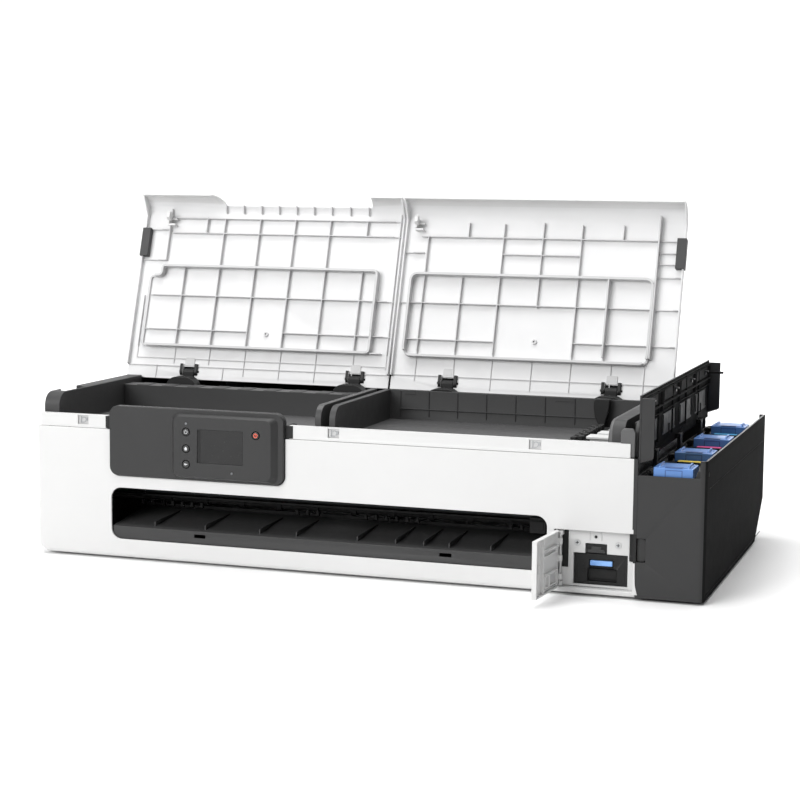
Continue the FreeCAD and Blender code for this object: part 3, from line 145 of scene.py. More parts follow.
WHITE = finish_material("white_shell", (0.655, 0.655, 0.652), 0.42, drift=0.012, bump=0.10)
# The lids' inner faces take a second tone of the same white plastic, set to how they are lit:
# painted light.
LID_LIT_INNER = finish_material("lid_inside_painted_light", (0.70, 0.70, 0.703), 0.48, drift=0.012, bump=0.10)
# A darker copy of the lid plastic for the lid ribs: painted shade.
SHADED_RIB = finish_material("lid_ribs", (0.52, 0.52, 0.523), 0.50, drift=0.02, bump=0.10)
CHARCOAL = finish_material("charcoal_shell", grey(0.045), 0.50, drift=0.035, bump=0.30, grain=2400,
                           spec=0.30, rough_drift=0.03)
PANEL = finish_material("panel_charcoal", grey(0.033), 0.46, drift=0.035, bump=0.25, grain=2600,
                        spec=0.30, rough_drift=0.03)
HOUSING = finish_material("housing_charcoal", grey(0.050), 0.62, drift=0.03, bump=0.30, grain=2400,
                          spec=0.05, rough_drift=0.03)
# A darker copy of the housing charcoal for the housing's right hand side: painted shade.
SHADED_SIDE = finish_material("housing_side", grey(0.014), 0.72, drift=0.03, bump=0.30, grain=2400,
                       spec=0.01, rough_drift=0.03)
# A darker copy of the housing charcoal for the raised ink cover: painted shade.
SHADED_COVER = finish_material("cover_charcoal_painted_shade", grey(0.014), 0.70, drift=0.05, bump=0.25, spec=0.012)
CELL = finish_material("cover_cells", grey(0.028), 0.66, drift=0.05, bump=0.25, spec=0.03)
# A lighter copy of the charcoal for the curved arms at the right end of the right bay: painted
# light.
LIT_ARM = finish_material("arm_charcoal_painted_light", grey(0.098), 0.48, drift=0.04, bump=0.3, spec=0.35)
# A lighter copy of the charcoal for the upward faces of the bay trays: painted light from above.
LIT_BAY_FLOOR = finish_material("bay_floor", grey(0.070), 0.46, drift=0.04, bump=0.3, spec=0.4)
# A lighter grey: painted highlight on the upward faces of the ink cover and the housing, and the
# colour of the latch dot.
LIGHT_GREY_AND_TOP_HIGHLIGHT = finish_material("light_grey_and_painted_top_highlight", grey(0.105), 0.42, drift=0.08, bump=0.2, spec=0.4)
BLACK = finish_material("black_parts", grey(0.012), 0.52, drift=0.10, bump=0.25, spec=0.3)
DEEP = finish_material("slot_black", (0.022, 0.027, 0.031), 0.52, drift=0.2, bump=0.2)
KEY = finish_material("key_caps", grey(0.030), 0.36, drift=0.08, bump=0.2)
ICON = finish_material("key_icons", (0.62, 0.63, 0.64), 0.5, drift=0.03, bump=0.1)
RED = finish_material("stop_mark", (0.86, 0.13, 0.07), 0.4, drift=0.05, bump=0.1)
SCREEN = finish_material("screen_glass", grey(0.020), 0.22, drift=0.06, bump=0.02, spec=0.25,
                         coat=0.1, coat_rough=0.08, blotch=20)
LENS = finish_material("lamp_lens", (0.30, 0.31, 0.33), 0.25, drift=0.1, bump=0.05, coat=0.4)
# The red sensor windows emit a little light though they are no lamp: painted light that keeps them
# bright in the shade of the slot.
GLOW_RED = (0.50, 0.02, 0.02)
PAINTED_GLOW = finish_material("sensor_painted_glow", GLOW_RED, 0.3, drift=0.1, bump=0.05)
glow_shader = PAINTED_GLOW.node_tree.nodes["Principled BSDF"]
glow_shader.inputs["Emission Color"].default_value = (*GLOW_RED, 1)
glow_shader.inputs["Emission Strength"].default_value = 0.35
BLUE = finish_material("cap_blue", (0.100, 0.235, 0.56), 0.36, drift=0.05, bump=0.08, coat=0.15)
BLUE_LINE = finish_material("cap_blue_dark", (0.045, 0.110, 0.30), 0.40, drift=0.05, bump=0.08)
LATCH = finish_material("latch_blue", (0.17, 0.37, 0.80), 0.36, drift=0.06, bump=0.08,
                        tint=(0.27, 0.50, 0.92), blotch=30)
TANK = finish_material("tank_plastic", (0.62, 0.63, 0.64), 0.34, drift=0.05, bump=0.1, sss=0.1)
STEEL = finish_material("steel", (0.56, 0.57, 0.58), 0.30, drift=0.05, bump=0.2, metal=1.0,
                        stretch=(1.0, 40.0, 40.0), grain=140, blotch=6)
ZINC = finish_material("zinc_screw", (0.40, 0.41, 0.42), 0.38, drift=0.12, bump=0.3, metal=0.9)
BRASS = finish_material("pinion_brass", (0.62, 0.43, 0.17), 0.28, drift=0.08, bump=0.15, metal=1.0)
NYLON = finish_material("gear_nylon", (0.66, 0.65, 0.60), 0.40, drift=0.04, bump=0.1)
RUBBER = finish_material("roller_rubber", grey(0.022), 0.72, drift=0.2, bump=0.5, grain=1500)
FLANGE = finish_material("flange_plastic", (0.045, 0.055, 0.075), 0.42, drift=0.1, bump=0.2)
BOARD = finish_material("board_green", (0.015, 0.115, 0.045), 0.36, drift=0.15, bump=0.4, grain=500,
                        coat=0.3)
SUPPLY = finish_material("supply_metal", (0.50, 0.51, 0.50), 0.44, drift=0.1, bump=0.3, metal=0.9)
SOCKET = finish_material("socket_plastic", grey(0.018), 0.40, drift=0.15, bump=0.2)
YELLOW = finish_material("yellow_label", (0.80, 0.60, 0.06), 0.45, drift=0.05, bump=0.08)
MAGENTA = finish_material("magenta_label", (0.62, 0.05, 0.22), 0.45, drift=0.05, bump=0.08)
CYAN = finish_material("cyan_label", (0.06, 0.36, 0.66), 0.45, drift=0.05, bump=0.08)
PALE = finish_material("pale_inner", (0.55, 0.55, 0.55), 0.5, drift=0.03, bump=0.1)

SLOT_LOOK = {
    "white_plastic": WHITE, "lid_plastic": LID_LIT_INNER, "charcoal_plastic": CHARCOAL,
    "black_plastic": BLACK, "key_plastic": KEY, "screen": SCREEN, "lens_plastic": LENS,
    "cap_blue": BLUE, "latch_blue": LATCH, "tank_plastic": TANK, "steel": STEEL,
    "pinion_brass": BRASS, "gear_nylon": NYLON, "roller_rubber": RUBBER,
    "flange_plastic": FLANGE, "board_green": BOARD, "supply_metal": SUPPLY,
    "socket_plastic": SOCKET,
}


# ---------------------------------------------------------------- CAD pieces with softened edges
record = frame["record"]
NODE_BODY = {n: b for b, nodes in record["behaviour"]["bodies"].items() for n in nodes}
NODE_SLOT = {p["node"]: p["material_slot"] for p in record["subparts"]}


def settle(obj, look, body, stands_for=()):
    """Gives a new piece its material, its body and the CAD nodes that it stands for."""
    obj.data.materials.clear()
    for material in (look if isinstance(look, (list, tuple)) else [look]):
        obj.data.materials.append(material)
    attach(obj, body)
    if stands_for:
        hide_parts(*stands_for)


def add_bevel(obj, width, segments=2, angle=SHARP_ANGLE, clamp=True):
    """Rounds the sharp edges of a piece by a width in mm."""
    bevel = obj.modifiers.new("edges", "BEVEL")
    bevel.width = width * MM
    bevel.segments = segments
    bevel.limit_method = "ANGLE"
    bevel.angle_limit = math.radians(angle)
    bevel.use_clamp_overlap = clamp
    bevel.harden_normals = True
    bevel.miter_outer = "MITER_ARC"


def shade(mesh):
    for face in mesh.polygons:
        face.use_smooth = True
    mesh.set_sharp_from_angle(angle=math.radians(SHARP_ANGLE))


SAME_SPOT = 2e-6                   # m; nearer corners are joined
FLAT_ANGLE = math.radians(0.4)     # faces that turn less are one face


def soften(node, width, look=None):
    """A copy of a CAD node with joined faces and rounded edges, which stands for that node."""
    bm = bmesh.new()
    bm.from_mesh(frame["nodes"][node].data)
    bmesh.ops.remove_doubles(bm, verts=bm.verts, dist=SAME_SPOT)
    bmesh.ops.dissolve_limit(bm, angle_limit=FLAT_ANGLE, verts=bm.verts, edges=bm.edges)
    fresh = bpy.data.meshes.new(node + "_soft")
    bm.to_mesh(fresh)
    bm.free()
    shade(fresh)
    obj = bpy.data.objects.new(node + "_soft", fresh)
    bpy.context.scene.collection.objects.link(obj)
    slot = NODE_SLOT[node]
    settle(obj, look or SLOT_LOOK[slot], NODE_BODY[node], [node])
    add_bevel(obj, width, clamp=False)
    return obj


CAPS = ("ink_cap_black", "ink_cap_yellow", "ink_cap_magenta", "ink_cap_cyan")
SOFT_WIDTH = {             # mm of rounding on each softened node
    "front_cover": 1.0, "top_strip": 0.3, "left_side_cover": 0.8, "rear_cover": 1.0,
    "roll_cover": 1.0, "left_bay_tray": 0.6, "right_bay_tray": 0.6, "right_end_wall": 1.0,
    "left_lid": 0.7, "right_lid": 0.7, "left_lid_grip": 0.6, "right_lid_grip": 0.6,
    "lid_hinge_beam": 0.8, "panel_bezel": 1.3, "maintenance_bay": 0.7,
    "maintenance_cartridge": 0.8, "cartridge_latch": 1.0, "maintenance_door": 0.7,
    "ink_housing": 0.5, "ink_deck": 0.5, "ink_cover": 0.5, "output_tray": 0.5,
    **dict.fromkeys(CAPS, 1.2), "exit_guide": 0.4, "base_pan": 0.8,
}
OWN_LOOK = {"ink_housing": HOUSING, "ink_cover": SHADED_COVER, "panel_bezel": PANEL}
SOFT = {}
for node_name, soft_width in SOFT_WIDTH.items():
    SOFT[node_name] = soften(node_name, soft_width, OWN_LOOK.get(node_name))
for node_name, node_object in frame["nodes"].items():
    if node_name not in SOFT:
        node_object.data.materials.clear()
        node_object.data.materials.append(SLOT_LOOK[NODE_SLOT[node_name]])


def paint(node, look, wanted):
    """Gives another material to a softened node's faces whose middle passes a test, in mm."""
    mesh = SOFT[node].data
    mesh.materials.append(look)
    index = len(mesh.materials) - 1
    for face in mesh.polygons:
        middle = face.center
        x, y = (middle.x - CORNER.x) / MM, (middle.y - CORNER.y) / MM
        if wanted(x, y, middle.z / MM, face.normal):
            face.material_index = index


def lid_depth(y, z):
    """How far a point stands in from an open lid's outer skin."""
    return (-(y - HINGE_Y) * math.cos(LID_LEAN) + (z - HINGE_Z) * math.sin(LID_LEAN))


def lid_rise(y, z):
    """How far a point is up an open lid from its hinge line."""
    return (y - HINGE_Y) * math.sin(LID_LEAN) + (z - HINGE_Z) * math.cos(LID_LEAN)


for lid_node in ("left_lid", "right_lid"):
    # outer skin and top lip keep the white; the inner faces keep the painted-light tone
    paint(lid_node, WHITE, lambda x, y, z, n: lid_depth(y, z) < 0.3 or lid_rise(y, z) > 271)
    paint(lid_node, BLACK, lambda x, y, z, n: lid_rise(y, z) < 8 and lid_depth(y, z) > 2.9)
for cap_node in CAPS:
    paint(cap_node, BLACK, lambda x, y, z, n: x < 896.5)
# painted highlight on the cover's upward faces
paint("ink_cover", LIGHT_GREY_AND_TOP_HIGHLIGHT, lambda x, y, z, n: n.z > 0.7 and z > 266)
# the cover's end faces keep the housing charcoal; its other faces keep the painted shade
paint("ink_cover", HOUSING, lambda x, y, z, n: abs(n.y) > 0.7 and (y < 4 or y > 500))
# painted highlight on the housing's upward faces
paint("ink_housing", LIGHT_GREY_AND_TOP_HIGHLIGHT, lambda x, y, z, n: n.z > 0.7 and z > 168)
# painted shade on the faces of the housing that look to the right
paint("ink_housing", SHADED_SIDE, lambda x, y, z, n: n.x > 0.7 and x > 960)
# painted light on the upward faces of both bay trays
paint("right_bay_tray", LIT_BAY_FLOOR, lambda x, y, z, n: n.z > 0.7 and z < 200)
paint("left_bay_tray", LIT_BAY_FLOOR, lambda x, y, z, n: n.z > 0.7)


# ---------------------------------------------------------------- mesh builder
class Shape:
    """Collects closed solids, given in mm, into one mesh."""

    def __init__(self, place=at):
        self.bm = bmesh.new()
        self.place = place

    def ring_at(self, points):
        return [self.bm.verts.new(self.place(*p)) for p in points]

    @staticmethod
    def spot(axis, value, u, v):
        """A point from its place along an axis and its two other coordinates."""
        return {"x": (value, u, v), "y": (u, value, v), "z": (u, v, value)}[axis]

    def skin_rings(self, rings):
        """Side walls through a row of rings, with a cap at each end."""
        count = len(rings[0])
        self.bm.faces.new(rings[0])
        self.bm.faces.new(rings[-1])
        for a, b in zip(rings, rings[1:]):
            for i in range(count):
                j = (i + 1) % count
                self.bm.faces.new((a[i], a[j], b[j], b[i]))

    def prism(self, axis, low, high, outline):
        """An outline in the two other coordinates, in x, y, z order, drawn out along an axis."""
        self.skin_rings([self.ring_at([self.spot(axis, value, *p) for p in outline])
                         for value in (low, high)])
        return self

    def block(self, low, high):
        (x0, y0, z0), (x1, y1, z1) = low, high
        return self.prism("z", z0, z1, [(x0, y0), (x1, y0), (x1, y1), (x0, y1)])

    def rod(self, axis, centre, radius, low, high, sides=28):
        outline = []
        for i in range(sides):
            a = 2 * math.pi * i / sides
            outline.append((centre[0] + radius * math.cos(a), centre[1] + radius * math.sin(a)))
        return self.prism(axis, low, high, outline)

    def tube(self, axis, centre, inner, outer, low, high, sides=32, start=0.0, sweep=2 * math.pi):
        """A washer, or an arc of one."""
        closed = sweep >= 2 * math.pi - 1e-6
        count = sides if closed else sides + 1
        rings = []
        for i in range(count):
            a = start + sweep * i / sides
            c, s = math.cos(a), math.sin(a)
            quad = []
            for r, value in ((inner, low), (outer, low), (outer, high), (inner, high)):
                quad.append(self.spot(axis, value, centre[0] + r * c, centre[1] + r * s))
            rings.append(self.ring_at(quad))
        for i in range(sides):
            a, b = rings[i], rings[(i + 1) % count]
            for k in range(4):
                m = (k + 1) % 4
                self.bm.faces.new((a[k], a[m], b[m], b[k]))
        if not closed:
            self.bm.faces.new(rings[0])
            self.bm.faces.new(rings[-1])
        return self

    def make(self, name, look, body, slot, bevel=0.25, stands_for=(), segments=2, clamp=True):
        """Turns what was collected into a piece with rounded edges, bevel given in mm."""
        bmesh.ops.recalc_face_normals(self.bm, faces=self.bm.faces)
        mesh = bpy.data.meshes.new(name)
        self.bm.to_mesh(mesh)
        self.bm.free()
        shade(mesh)
        obj = bpy.data.objects.new(name, mesh)
        bpy.context.scene.collection.objects.link(obj)
        settle(obj, look, body, stands_for)
        if bevel:
            add_bevel(obj, bevel, segments, clamp=clamp)
        return obj


def rounded(x0, z0, x1, z1, radius, steps=6):
    """Corner points of a rounded rectangle."""
    points = []
    for cx, cz, start in ((x1 - radius, z1 - radius, 0), (x0 + radius, z1 - radius, 90),
                          (x0 + radius, z0 + radius, 180), (x1 - radius, z0 + radius, 270)):
        for i in range(steps + 1):
            a = math.radians(start + 90 * i / steps)
            points.append((cx + radius * math.cos(a), cz + radius * math.sin(a)))
    return points


# ---------------------------------------------------------------- lids
# heights in mm in from the outer skin of an open lid
SKIN = 2.5            # ribs start just inside the lid's 2.7 mm sheet
RIB_TOP = 9.0
LOOP_TOP = 14.6
LOOP_WIDTH = 3.6
LOW_TOP = 4.1         # over the hinge guards
WALL_TOP = 6.2        # over the bay walls


def rib_limit(side, x, u):
    """How far in a rib may stand so that it clears everything under the shut lid."""
    limit = 99.0
    if u < 38:
        limit = LOW_TOP
    if side == "left":
        if x < 32 or x > 422:
            limit = min(limit, WALL_TOP)
        if 40 < u < 74:
            limit = min(limit, 13.6)
    else:
        if x < 456 or 832.4 < x < 859:
            limit = min(limit, WALL_TOP)
        if x > 862:
            limit = min(limit, 10.0)
        if 40.5 < u < 47:
            limit = min(limit, WALL_TOP)
    return limit


def rib(shape, side, start, end, top, width=1.3):
    """A straight rib on a lid, cut into runs of one height."""
    (x0, u0), (x1, u1) = start, end
    length = math.hypot(x1 - x0, u1 - u0)
    count = max(1, int(length))
    heights = []
    for i in range(count):
        t = (i + 0.5) / count
        heights.append(min(top, rib_limit(side, x0 + (x1 - x0) * t, u0 + (u1 - u0) * t)))
    nx, nu = -(u1 - u0) / length * width / 2, (x1 - x0) / length * width / 2
    first = 0
    for i in range(1, count + 1):
        if i < count and heights[i] == heights[first]:
            continue
        a, b = first / count, i / count
        ends = []
        for t in (a, b):
            x, u = x0 + (x1 - x0) * t, u0 + (u1 - u0) * t
            ends.append(((x + nx, u + nu), (x - nx, u - nu)))
        outline = [ends[0][0], ends[1][0], ends[1][1], ends[0][1]]
        shape.prism("z", SKIN, heights[first], outline)
        first = i


def loop(shape, side, corners, top, width, radius):
    """A closed raised wall that follows rounded corners."""
    points = []
    for i, corner in enumerate(corners):
        before, after = corners[i - 1], corners[(i + 1) % len(corners)]
        spot = Vector(corner)
        a = (Vector(before) - spot).normalized()
        b = (Vector(after) - spot).normalized()
        for t in (0, 0.25, 0.5, 0.75, 1):
            p = spot + a * radius * (1 - t) ** 2 + b * radius * t ** 2
            points.append((p.x, p.y))
    for start, end in zip(points, points[1:] + points[:1]):
        rib(shape, side, start, end, top, width)


def build_left_lid_ribs():
    shape = Shape(on_lid)
    for x, low, high in ((80.4, 12, 166), (139.3, 12, 247), (199.1, -4, 247), (258.1, -6, 247),
                         (316.5, -8, 247), (377.2, 0, 166), (377.2, 223, 247), (109, 223, 249),
                         (45.5, 178, 262), (52, -11, 9), (165, -11, 8), (430, 16, 259)):
        rib(shape, "left", (x, low), (x, high), RIB_TOP)
    for x in (139.3, 169, 199.1, 228.6, 258.1, 287, 316.5, 347, 377.2):
        shape.prism("x", x - 0.7, x + 0.7, [(256, 4), (268, 9), (268, 13.5), (256, 8.5)])
    for u, a, b in ((247, 46, 430), (223, 50, 434), (228, 6, 45), (178, 6, 45), (121, 26, 434),
                    (66, 24, 199), (66, 258, 434), (20, 15, 430), (8, 5, 434)):
        rib(shape, "left", (a, u), (b, u), RIB_TOP if u > 40 else LOW_TOP)
    rib(shape, "left", (15.5, 20), (15.5, 120), WALL_TOP)
    rib(shape, "left", (403, 39.5), (421, 39.5), 10.0, 2.0)
    corners = [(22, 39.5), (22, 152), (44, 152), (44, 168), (403, 168), (403, 39.5)]
    loop(shape, "left", corners, LOOP_TOP, LOOP_WIDTH, 6)
    shape.make("left_lid_ribs", SHADED_RIB, "left_lid", "lid_plastic", 0.25)


def build_right_lid_ribs():
    shape = Shape(on_lid)
    for x, low, high in ((477.4, 2, 226), (536.8, 8, 163), (595.4, -8, 247), (656, 119, 250),
                         (656, -6, 38), (714.9, -6, 247), (775, -6, 38), (824, -8, 38),
                         (540, 226, 248), (777, 226, 248)):
        rib(shape, "right", (x, low), (x, high), RIB_TOP)
    rib(shape, "right", (831, 47.5), (831, 262), LOOP_TOP, 2.0)
    rib(shape, "right", (762, 42), (762, 164), LOOP_TOP, 2.4)
    for u, a, b in ((225, 466, 866), (199.5, 443, 473), (199.5, 596, 714), (121.5, 443, 866),
                    (65, 458, 595), (67, 716, 866), (10, 443, 860), (207, 832, 856),
                    (190, 832, 856), (170, 832, 866)):
        rib(shape, "right", (a, u), (b, u), RIB_TOP if u > 40 else LOW_TOP)
    corners = [(457.5, 39.2), (457.5, 166), (828, 166), (828, 39.2)]
    loop(shape, "right", corners, LOOP_TOP, LOOP_WIDTH, 12)
    shape.make("right_lid_ribs", SHADED_RIB, "right_lid", "lid_plastic", 0.25)


def build_lid_fittings(side, body, hook_x, screw, hinges):
    """Catch hook, centre screw boss and the pale clips over the hinge guards."""
    hook = Shape(on_lid)
    hook.block((hook_x - 9, 233, SKIN), (hook_x + 3, 236, 15))
    hook.block((hook_x - 9, 236, SKIN), (hook_x - 6.5, 252, 17))
    hook.prism("x", hook_x - 9, hook_x - 4,
               [(240, 14), (252, 14), (255, 20), (250, 24), (244, 24), (241, 20)])
    hook.block((hook_x - 6, 243, SKIN), (hook_x + 4, 245, 12))
    hook.make(side + "_lid_hook", WHITE, body, "lid_plastic", 0.3)
    boss = Shape(on_lid)
    boss.tube("z", screw, 1.7, 3.6, SKIN, 5.4, 24)
    boss.rod("z", screw, 1.8, SKIN, 3.4, 20)
    boss.make(side + "_lid_boss", PALE, body, "lid_plastic", 0.2)
    clips = Shape(on_lid)
    for x in hinges:
        clips.prism("z", SKIN, 4.2, rounded(x + 1, 9, x + 17, 22, 2))
        clips.block((x + 4, 12, 3.9), (x + 14, 19, 4.4))
    clips.make(side + "_lid_clips", PALE, body, "lid_plastic", 0.2)


build_left_lid_ribs()
build_right_lid_ribs()
build_lid_fittings("left", "left_lid", 53, (229.8, 64), (99, 374))
build_lid_fittings("right", "right_lid", 466, (656.7, 68), (521, 769))


# ---------------------------------------------------------------- control panel
FACE_Y = -13.0                 # front of the plateau
PLATEAU_FOOT = -4.8
TOOL_FRONT = -14.5             # cutting shapes start in front of the plateau
LAMPS = ((241.3, 202.7), (310.6, 136.5))
KEY_DOME = ((-8.6, 4.9), (-13.1, 4.9), (-13.45, 4.6), (-13.6, 3.8), (-13.45, 2.6), (-13.4, 0.8))
KEY_SIDES = 32
MARK_FRONT = -13.72
MARK_BACK = -13.3


def build_panel_face():
    """Plateau with sloped sides and rooms for the screen, the keys and the lamps."""
    face = Shape()
    face.skin_rings([face.ring_at([(x, y, z) for x, z in outline]) for y, outline in
                     ((PLATEAU_FOOT, rounded(216.8, 124.3, 376.5, 216.4, 10)),
                      (FACE_Y, rounded(222.5, 128.5, 369, 212.8, 9)))])
    plateau = face.make("panel_plateau", PANEL, "chassis", "charcoal_plastic", 0, ["panel_face"])
    cutter = Shape()
    cutter.block((258.6, TOOL_FRONT, 148.4), (327.1, -11.2, 195.6))
    for node in ("power_button", "home_button", "back_button", "stop_button"):
        low_corner, high_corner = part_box(node)
        x = (low_corner.x + high_corner.x) / 2 - CORNER.x
        z = (low_corner.z + high_corner.z) / 2
        cutter.rod("y", (x / MM, z / MM), 5.9, TOOL_FRONT, -7.0, 32)
    for lamp in LAMPS:
        cutter.rod("y", lamp, 1.6, TOOL_FRONT, -11.5, 20)
    cut_by(plateau, cutter, PANEL)
    add_bevel(plateau, 0.7, 2, 28.0, False)


def cut_by(obj, cutter, look):
    """Cuts a collected shape out of a finished piece and bakes the result into its mesh."""
    bmesh.ops.recalc_face_normals(cutter.bm, faces=cutter.bm.faces)
    mesh = bpy.data.meshes.new("cutter")
    cutter.bm.to_mesh(mesh)
    cutter.bm.free()
    tool = bpy.data.objects.new("cutter", mesh)
    bpy.context.scene.collection.objects.link(tool)
    cut = obj.modifiers.new("cut", "BOOLEAN")
    cut.operation = "DIFFERENCE"
    cut.solver = "EXACT"
    cut.object = tool
    graph = bpy.context.evaluated_depsgraph_get()
    fresh = bpy.data.meshes.new_from_object(obj.evaluated_get(graph))
    obj.modifiers.clear()
    obj.data = fresh
    fresh.materials.clear()
    fresh.materials.append(look)
    shade(fresh)
    bpy.data.objects.remove(tool)


def build_screen():
    """Dark pane with a darker strip down its left edge."""
    glass = Shape()
    glass.prism("y", -12.1, -11.0, rounded(262.6, 148.6, 326.9, 195.4, 1.0))
    strip = Shape()
    strip.block((258.7, -11.9, 148.6), (262.4, -11.0, 195.4))
    strip.make("screen_shade_strip", BLACK, "chassis", "black_plastic", 0.15)
    glass.make("screen_pane", SCREEN, "chassis", "screen", 0.25, ["lcd_screen"])


def build_key(node, x, z, marks):
    """A domed round key, and its mark as a shape still to be finished."""
    key = Shape()
    turns = [2 * math.pi * i / KEY_SIDES for i in range(KEY_SIDES)]
    key.skin_rings([key.ring_at([(x + r * math.cos(a), y, z + r * math.sin(a)) for a in turns])
                    for y, r in KEY_DOME])
    key.make(node + "_cap", KEY, node, "key_plastic", 0, [node])
    mark = Shape()
    marks(mark, x, z)
    return mark


def power_mark(s, x, z):
    s.tube("y", (x, z), 1.9, 2.6, MARK_FRONT, MARK_BACK, 20, math.radians(125), math.radians(290))
    s.block((x - 0.35, MARK_FRONT, z + 0.8), (x + 0.35, MARK_BACK, z + 3.0))


def home_mark(s, x, z):
    s.prism("y", MARK_FRONT, MARK_BACK, [(x - 2.7, z + 0.1), (x + 2.7, z + 0.1), (x, z + 2.8)])
    s.block((x - 1.8, MARK_FRONT, z - 2.2), (x + 1.8, MARK_BACK, z + 0.1))


def back_mark(s, x, z):
    s.prism("y", MARK_FRONT, MARK_BACK, [(x - 2.8, z), (x - 0.5, z + 2.0), (x - 0.5, z - 2.0)])
    s.block((x - 0.6, MARK_FRONT, z - 0.6), (x + 2.4, MARK_BACK, z + 0.6))


def stop_mark(s, x, z):
    s.tube("y", (x, z), 2.1, 3.1, -13.75, MARK_BACK, 28)
    s.prism("y", -13.75, MARK_BACK, [(x - 0.8, z - 0.7), (x + 0.8, z - 0.7), (x, z + 0.8)])


def build_lamps():
    """The raised centres of the two lamps on the panel."""
    (x, z), ready = LAMPS
    lamps = Shape()
    lamps.prism("y", -13.1, -11.4, [(x - 1.2, z - 0.9), (x + 1.2, z - 0.9), (x, z + 1.3)])
    lamps.tube("y", ready, 0.6, 1.3, -13.1, -11.4, 16)
    lamps.make("panel_lamps", ICON, "chassis", "lens_plastic", 0.05)


def build_tabs():
    """Black tabs above both ends of the panel."""
    tabs = Shape()
    for x0, x1 in ((109.4, 118.6), (384.4, 396.0)):
        tabs.block((x0, 1.2, 188.2), (x1, 10.8, 205.6))
    tabs.make("panel_tabs", BLACK, "chassis", "black_plastic", 0.5)


build_panel_face()
build_screen()
for key_node, key_x, key_z, key_marks, key_look in (
        ("power_button", 241.3, 191.2, power_mark, ICON),
        ("home_button", 241.3, 167.6, home_mark, ICON),
        ("back_button", 241.3, 145.6, back_mark, ICON),
        ("stop_button", 346.6, 191.4, stop_mark, RED)):
    key_mark = build_key(key_node, key_x, key_z, key_marks)
    key_mark.make(key_node + "_mark", key_look, key_node, "key_plastic", 0.05)
build_lamps()
build_tabs()


# ---------------------------------------------------------------- strip, catches and front seams
def build_catches():
    """Three latch catches in the white strip along the top of the front."""
    catch = Shape()
    hooks = Shape()
    for x in (65, 447, 731):
        catch.block((x + 0.3, 4.6, 192.3), (x + 16.7, 5.6, 204.6))
        hooks.block((x + 4.0, 3.6, 194.0), (x + 5.2, 4.8, 203.0))
        hooks.block((x + 4.0, 3.6, 194.0), (x + 9.5, 4.8, 195.2))
        hooks.tube("y", (x + 9.2, 198.6), 2.6, 3.7, 3.6, 4.8, 18, math.radians(-70),
                   math.radians(220))
        hooks.block((x + 12.4, 3.6, 197.0), (x + 15.0, 4.8, 201.5))
    catch.make("catch_backs", PALE, "chassis", "white_plastic", 0.1)
    hooks.make("catch_hooks", ZINC, "chassis", "steel", 0.15)


build_catches()


# ---------------------------------------------------------------- paper slot
SLOT_BACK = 99.9           # just in front of the exit guide's face
SLOT_ENDS = (121, 755)


def build_slot_rollers():
    """Sloping fins on the output tray and small rollers at the back of the slot."""
    fins = Shape()
    for x in (190, 268, 351, 406, 496, 551.5, 592, 628, 686.5):
        fins.prism("x", x - 8.6, x - 7.0,
                   [(9.5, 48.6), (9.5, 56.4), (16, 57.6), (94, 59.4), (94, 57.6)])
    fins.make("tray_fins", CHARCOAL, "chassis", "charcoal_plastic", 0.2)
    rollers = Shape()
    for start, count in ((118, 3), (150, 5), (362, 3), (466, 6), (679, 3)):
        for i in range(count):
            x = start + 15.5 * i
            rollers.rod("x", (98.6, 65.6), 2.6, x, x + 5.5, 16)
            rollers.block((x + 1.0, 96.6, 66.5), (x + 4.5, 100.6, 71.5))
    rollers.make("slot_rollers", BLACK, "chassis", "black_plastic", 0.2)


def build_slot_guide():
    """Ribs on the exit guide and the block at its right end."""
    lines = Shape()
    for y, low, high in ((97.4, 84.0, 85.4), (98.2, 97.4, 98.6), (96.4, 109.5, 112.0)):
        lines.block((SLOT_ENDS[0], y, low), (SLOT_ENDS[1], SLOT_BACK, high))
    for i in range(17):
        x = 138 + 37.5 * i
        lines.block((x, 97.6, 85.0), (x + 1.4, SLOT_BACK, 97.6))
    lines.make("slot_guide_ribs", DEEP, "chassis", "black_plastic", 0.3)
    end = Shape()
    end.block((710, 93, 62), (733, SLOT_BACK, 84))
    end.block((713, 92.2, 66), (730, 93.5, 80))
    end.make("slot_end_block", CHARCOAL, "chassis", "charcoal_plastic", 0.8)


def build_sensor(x):
    """A red sensor window with a black rim, at the back of the slot."""
    spot = (x, 92)
    dot = Shape()
    dot.rod("y", spot, 2.9, 96.4, 99.8, 24)
    dot.rod("y", spot, 1.4, 96.0, 97.2, 20)
    # painted glow on the red window
    dot.make("sensor_dot_%d" % x, PAINTED_GLOW, "chassis", "lens_plastic", 0.3)
    rim = Shape()
    rim.tube("y", spot, 3.0, 4.6, 97.0, SLOT_BACK, 24)
    rim.make("sensor_rim_%d" % x, BLACK, "chassis", "black_plastic", 0.25)


build_slot_rollers()
build_slot_guide()
for sensor_x in (190, 345, 500):
    build_sensor(sensor_x)


# ---------------------------------------------------------------- maintenance door and bay
DOOR_PIN = (775.2, 4.5)
DOOR_TURN = math.radians(-95)      # how far the door stands open
BAY_SCREWS = ((797, 70), (852, 69.5))
BAY_HOLE = (822, 79)
DOOR_CLEAR = 873.9                 # pieces in front start here, clear of the shut door


def on_door(x, y, z):
    """A point in mm on the open door, given where it would be with the door shut, from its pin."""
    c, s = math.cos(DOOR_TURN), math.sin(DOOR_TURN)
    return at(DOOR_PIN[0] + x * c - y * s, DOOR_PIN[1] + x * s + y * c, z)


